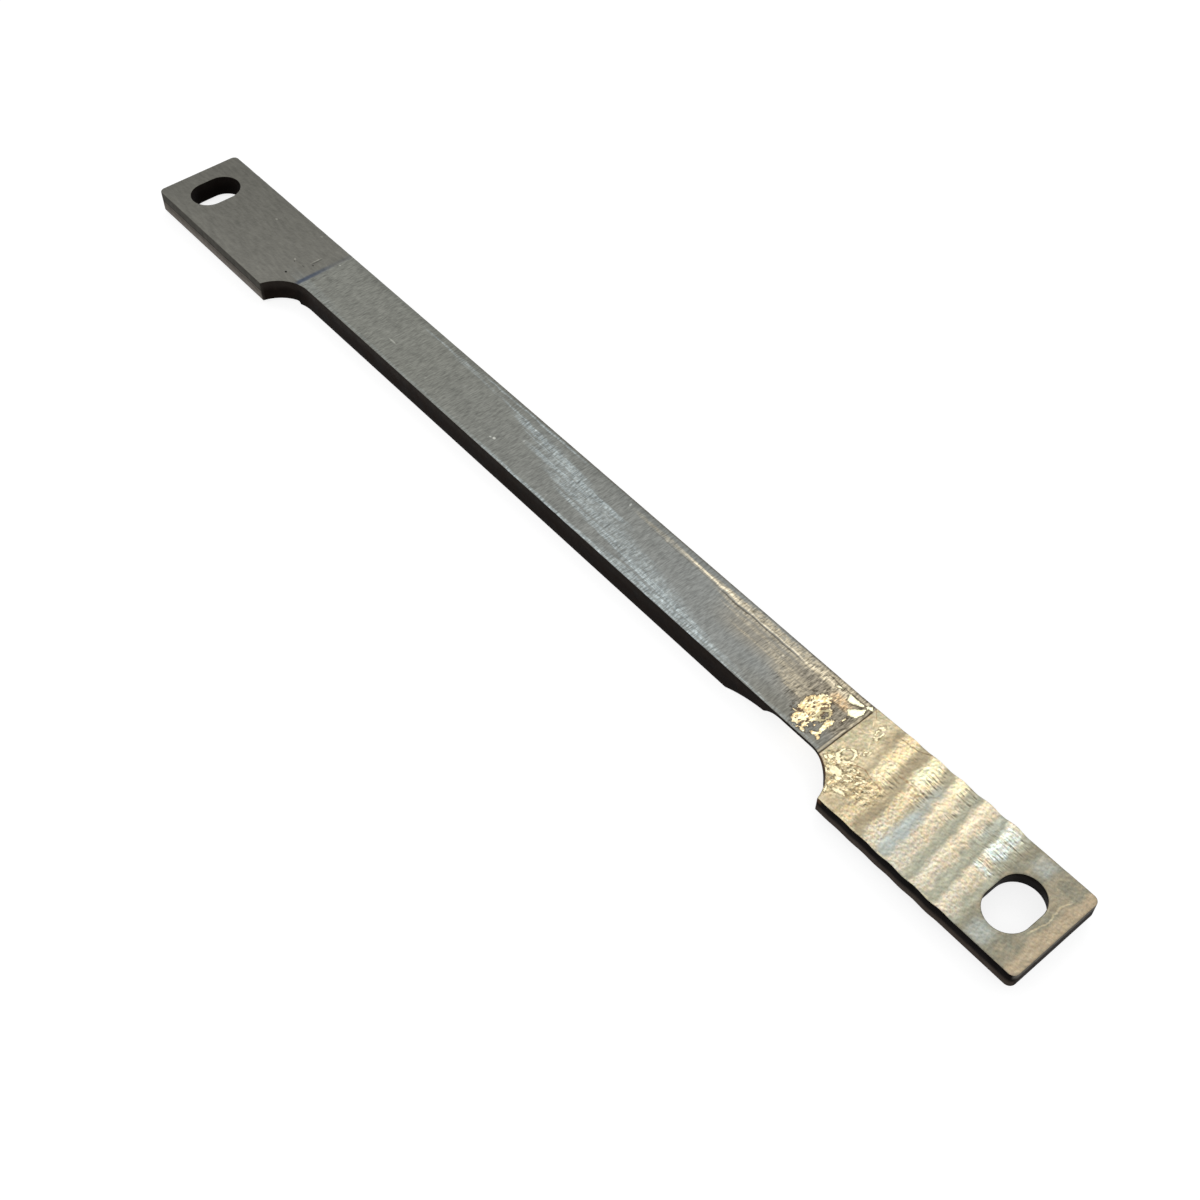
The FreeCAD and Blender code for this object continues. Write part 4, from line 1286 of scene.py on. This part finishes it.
def forgedTab():
    # the cutting tab's top: ripples with painted reflection on their crests, flat skin, smears, heat specks,
    # relief painted as light and shade, lines and splashes
    look = tabLook
    b = Bench("forgedTab")
    crest, rippled = b.field("crest"), b.field("rippled")
    blotch = b.grain(1.1, 0.8, 3.0, 4.0, 0.6)
    speckle = b.grain(4.0, 4.0, 3.0, 8.0, 0.65)
    bubbled = b.most(*(b.area(*box) for box in look["bubbled"]))
    colour, level, blue = rippleTones(b, crest, blotch, speckle)
    colour = b.mix(rippled, flatTones(b, blotch, blue), colour)
    smear = b.times(b.streaks(look["smears"]), b.span(speckle, 0.35, 0.6, 0.4, 1.0))
    colour = b.mix(smear, colour, look["crest"])
    shade = b.times(b.areas(look["shades"]), b.span(blotch, 0.3, 0.6, 0.5, 1.0))
    colour = b.mix(shade, colour, look["dark"])
    colour, lively = addHeatSpecks(b, colour, level, rippled, bubbled)
    colour, relief, mottle, bubbles = addTabRelief(b, colour, lively, bubbled, blotch, speckle)
    colour = addTabLines(b, colour, speckle)
    colour = addTabSplashes(b, colour, bubbles)
    roughness = b.ramp(blotch, 0.3, 0.7, 0.3, 0.44)
    return b.finish(colour, roughness, b.add(relief, mottle), 1.0, 0.012)


wallLook = {
    "scale": tone(24, 19, 16),
    "brown": tone(36, 29, 25),
    "barUpper": tone(52, 47, 43),
    "tabUpper": tone(88, 86, 80),
    # painted shaded floor under the raised plain tab, lighter towards the foot
    "paintedFloorShade": tone(112, 106, 99),
    "paintedFloorShadeFoot": tone(140, 133, 126),
    "skin": tone(74, 69, 62),
    "skinDark": tone(38, 34, 31),
    "seam": tone(30, 27, 25),
    "black": tone(8, 4, 3),
    # painted reflection of the floor at the cutting tab's foot
    "paintedFloorReflection": tone(80, 71, 64),
    # worn top of the end wall, with a painted highlight
    "wornEdgeHighlight": tone(118, 114, 107),
    "singed": tone(112, 84, 62),
}


def addSkin(b, colour):
    # straight side and plain end: the skin of the drawn bar, in long dull streaks, rubbed along both edges
    look = wallLook
    drawn = b.grain(0.14, 3.0, 4.0, 23.0, 0.6)
    backs = b.most(b.span(b.y, 4.9, 5.2), b.span(b.x, -68.1, -68.35))
    skin = b.mix(b.span(drawn, 0.36, 0.62), look["skinDark"], look["skin"])
    rubbed = b.times(b.span(b.away(b.z, 1.55), 1.2, 1.5), 0.5)
    return b.mix(backs, colour, b.mix(rubbed, skin, look["tabUpper"]))


def addPlainSide(b, colour, wander):
    # plain tab: its side darker above a thin seam, and below it a paler band of painted shaded floor, as
    # seen under the raised tab
    look = wallLook
    plainTabSide = b.fade(-45.4, -46.0, tabEdge + 0.35, tabEdge + 0.15)
    lower = b.span(wander, 1.95, 1.8)
    colour = b.mix(b.times(plainTabSide, b.calc("SUBTRACT", 1.0, lower)), colour, look["tabUpper"])
    # below the seam, painted shaded floor
    share = b.times(plainTabSide, lower)
    foot = b.mix(b.span(wander, 1.5, 0.95), look["paintedFloorShade"], look["paintedFloorShadeFoot"])
    colour = b.mix(share, colour, foot)
    return b.mix(b.times(plainTabSide, b.band(wander, 1.84, 1.92, 0.05)), colour, look["seam"])


def addCuttingSide(b, colour, wander):
    # cutting tab: black under the top edge, paler at the foot with a painted floor reflection, singed in the
    # notch, and worn at the end with a painted highlight
    look = wallLook
    alongCuttingTab = b.span(b.x, cuttingStep + 1.5, cuttingStep + 3.5)
    side = b.times(alongCuttingTab, b.span(b.y, tabEdge + 0.45, tabEdge + 0.2))
    colour = b.mix(side, colour, b.mix(b.span(wander, 2.3, 1.6), look["black"], look["paintedFloorReflection"]))
    singed = b.times(b.span(b.z, 2.2, 2.8), b.band(b.x, 42.5, 46.2, 0.2), b.span(b.y, 0.0, -1.0), 0.7)
    colour = b.mix(singed, colour, look["singed"])
    # painted highlight on the worn top of the end wall
    end = b.span(b.x, half - 0.35, half - 0.1)
    return b.mix(b.times(end, b.span(wander, 2.2, 2.8)), colour, look["wornEdgeHighlight"])


def scaledWalls():
    # every wall: near-black scale, paler upwards on the bar, and the tabs' sides, with painted shaded floor
    # and a painted floor reflection low down
    look = wallLook
    b = Bench("scaledWalls")
    cloud = b.grain(0.8, 0.8, 4.0, 2.0, 0.6)
    wander = b.add(b.z, b.times(b.calc("SUBTRACT", b.grain(0.5, 0.5, 3.0, 9.0), 0.5), 0.35))
    colour = b.mix(b.span(cloud, 0.35, 0.65), look["scale"], look["brown"])
    upper = b.times(b.span(wander, 1.6, 2.6), b.span(b.x, 40.0, -40.0, 0.25, 0.85))
    colour = b.mix(upper, colour, look["barUpper"])
    colour = b.scaled(colour, b.span(b.z, 0.6, 2.4, 0.78, 1.0))
    colour = addSkin(b, colour)
    slotWall = b.times(b.band(b.calc("ABSOLUTE", b.x), 61.4, 66.4, 0.15), b.band(b.y, -3.7, 3.3, 0.15))
    colour = b.mix(b.times(slotWall, 0.7), colour, look["black"])
    colour = addPlainSide(b, colour, wander)
    colour = addCuttingSide(b, colour, wander)
    lines = b.grain(1.2, 1.2, 3.0, 4.0, 0.7)
    colour = b.scaled(colour, b.ramp(lines, 0.25, 0.75, 0.75, 1.3))
    roughness = b.ramp(cloud, 0.3, 0.7, 0.5, 0.68)
    return b.finish(colour, roughness, b.add(cloud, lines), 0.0, 0.02, specular=0.02)


for material in (groundSteel(), forgedTab(), scaledWalls()):
    body.data.materials.append(material)
print("finishes: ground steel, forged tab, scaled walls")


# Studio: a pale floor, a white surround, one soft key that mirrors in the cutting tab, and a fill.
studio = {
    "floorSize": 3.0,
    "floorTone": (0.4, 0.4, 0.4, 1.0),
    "floorLift": 0.8,
    "white": (1.0, 1.0, 1.0, 1.0),
    "ambient": 0.62,
}
keyLamp = {
    "place": (-0.12, 0.30, 0.52),
    "aim": (0.04, 0.0, 0.0),
    "size": 0.22,
    "power": 0.2,
    "tint": (1.0, 0.99, 0.96),
}
fillLamp = {
    "place": (0.35, -0.45, 0.55),
    "aim": (0.0, 0.0, 0.0),
    "size": 0.6,
    "power": 0.3,
    "tint": (0.95, 0.98, 1.0),
}


def seenRays(tree, kinds):
    # 1 where the camera or a mirror looks at the surface itself: the greatest of some kinds of ray
    rays = tree.nodes.new("ShaderNodeLightPath")
    seen = rays.outputs[kinds[0]]
    for kind in kinds[1:]:
        both = tree.nodes.new("ShaderNodeMath")
        both.operation = "MAXIMUM"
        tree.links.new(seen, both.inputs[0])
        tree.links.new(rays.outputs[kind], both.inputs[1])
        seen = both.outputs[0]
    return seen


def makeFloor():
    # a pale sheet under the knife, lifted towards white where it is looked at
    size = studio["floorSize"] / 2
    floorMesh = bpy.data.meshes.new("studioFloor")
    corners = [(-size, -size, 0), (size, -size, 0), (size, size, 0), (-size, size, 0)]
    floorMesh.from_pydata(corners, [], [(0, 1, 2, 3)])
    floor = bpy.data.objects.new("studioFloor", floorMesh)
    bpy.context.scene.collection.objects.link(floor)
    material = bpy.data.materials.new("paleFloor")
    material.use_nodes = True
    tree = material.node_tree
    tree.nodes.clear()
    diffuse = tree.nodes.new("ShaderNodeBsdfDiffuse")
    diffuse.inputs["Color"].default_value = studio["floorTone"]
    glow = tree.nodes.new("ShaderNodeEmission")
    glow.inputs["Color"].default_value = studio["white"]
    seen = seenRays(tree, ("Is Camera Ray", "Is Glossy Ray"))
    lift = tree.nodes.new("ShaderNodeMath")
    lift.operation = "MULTIPLY"
    lift.inputs[1].default_value = studio["floorLift"]
    tree.links.new(seen, lift.inputs[0])
    tree.links.new(lift.outputs[0], glow.inputs["Strength"])
    both = tree.nodes.new("ShaderNodeAddShader")
    tree.links.new(diffuse.outputs[0], both.inputs[0])
    tree.links.new(glow.outputs[0], both.inputs[1])
    output = tree.nodes.new("ShaderNodeOutputMaterial")
    tree.links.new(both.outputs[0], output.inputs["Surface"])
    floorMesh.materials.append(material)


def makeWorld():
    # white where it is looked at, and dimmer as a light
    world = bpy.data.worlds.new("studioWorld")
    bpy.context.scene.world = world
    world.use_nodes = True
    tree = world.node_tree
    tree.nodes.clear()
    seen = seenRays(tree, ("Is Camera Ray", "Is Glossy Ray", "Is Transmission Ray"))
    strength = tree.nodes.new("ShaderNodeMapRange")
    strength.inputs["To Min"].default_value = studio["ambient"]
    strength.inputs["To Max"].default_value = 1.0
    tree.links.new(seen, strength.inputs["Value"])
    background = tree.nodes.new("ShaderNodeBackground")
    background.inputs["Color"].default_value = studio["white"]
    tree.links.new(strength.outputs[0], background.inputs["Strength"])
    output = tree.nodes.new("ShaderNodeOutputWorld")
    tree.links.new(background.outputs[0], output.inputs["Surface"])


def makeLamp(name, look):
    # a soft disk at its place that looks at its aim
    lamp = bpy.data.lights.new(name, "AREA")
    lamp.shape = "DISK"
    lamp.size = look["size"]
    lamp.energy = look["power"]
    lamp.color = look["tint"]
    lampObject = bpy.data.objects.new(name, lamp)
    lampObject.location = look["place"]
    direction = Vector(look["aim"]) - Vector(look["place"])
    lampObject.rotation_euler = direction.to_track_quat("-Z", "Y").to_euler()
    bpy.context.scene.collection.objects.link(lampObject)


makeFloor()
makeWorld()
makeLamp("softKey", keyLamp)
makeLamp("fill", fillLamp)

# Camera solved from the photograph's straight edges: metres, degrees and millimetres.
view = {
    "place": (0.091956, -0.070370, 0.125086),
    "turn": (39.2365, -0.2310, 49.9042),
    "lens": 48.456,
    "sensor": 36.0,
    "nearest": 0.01,
}
cameraData = bpy.data.cameras.new("photoCamera")
cameraData.lens = view["lens"]
cameraData.sensor_width = view["sensor"]
cameraData.clip_start = view["nearest"]
camera = bpy.data.objects.new("photoCamera", cameraData)
camera.location = view["place"]
camera.rotation_euler = [math.radians(a) for a in view["turn"]]
bpy.context.scene.collection.objects.link(camera)
bpy.context.scene.camera = camera
bpy.context.scene.view_settings.view_transform = "Standard"
print("studio: floor, world, two lamps and the camera")
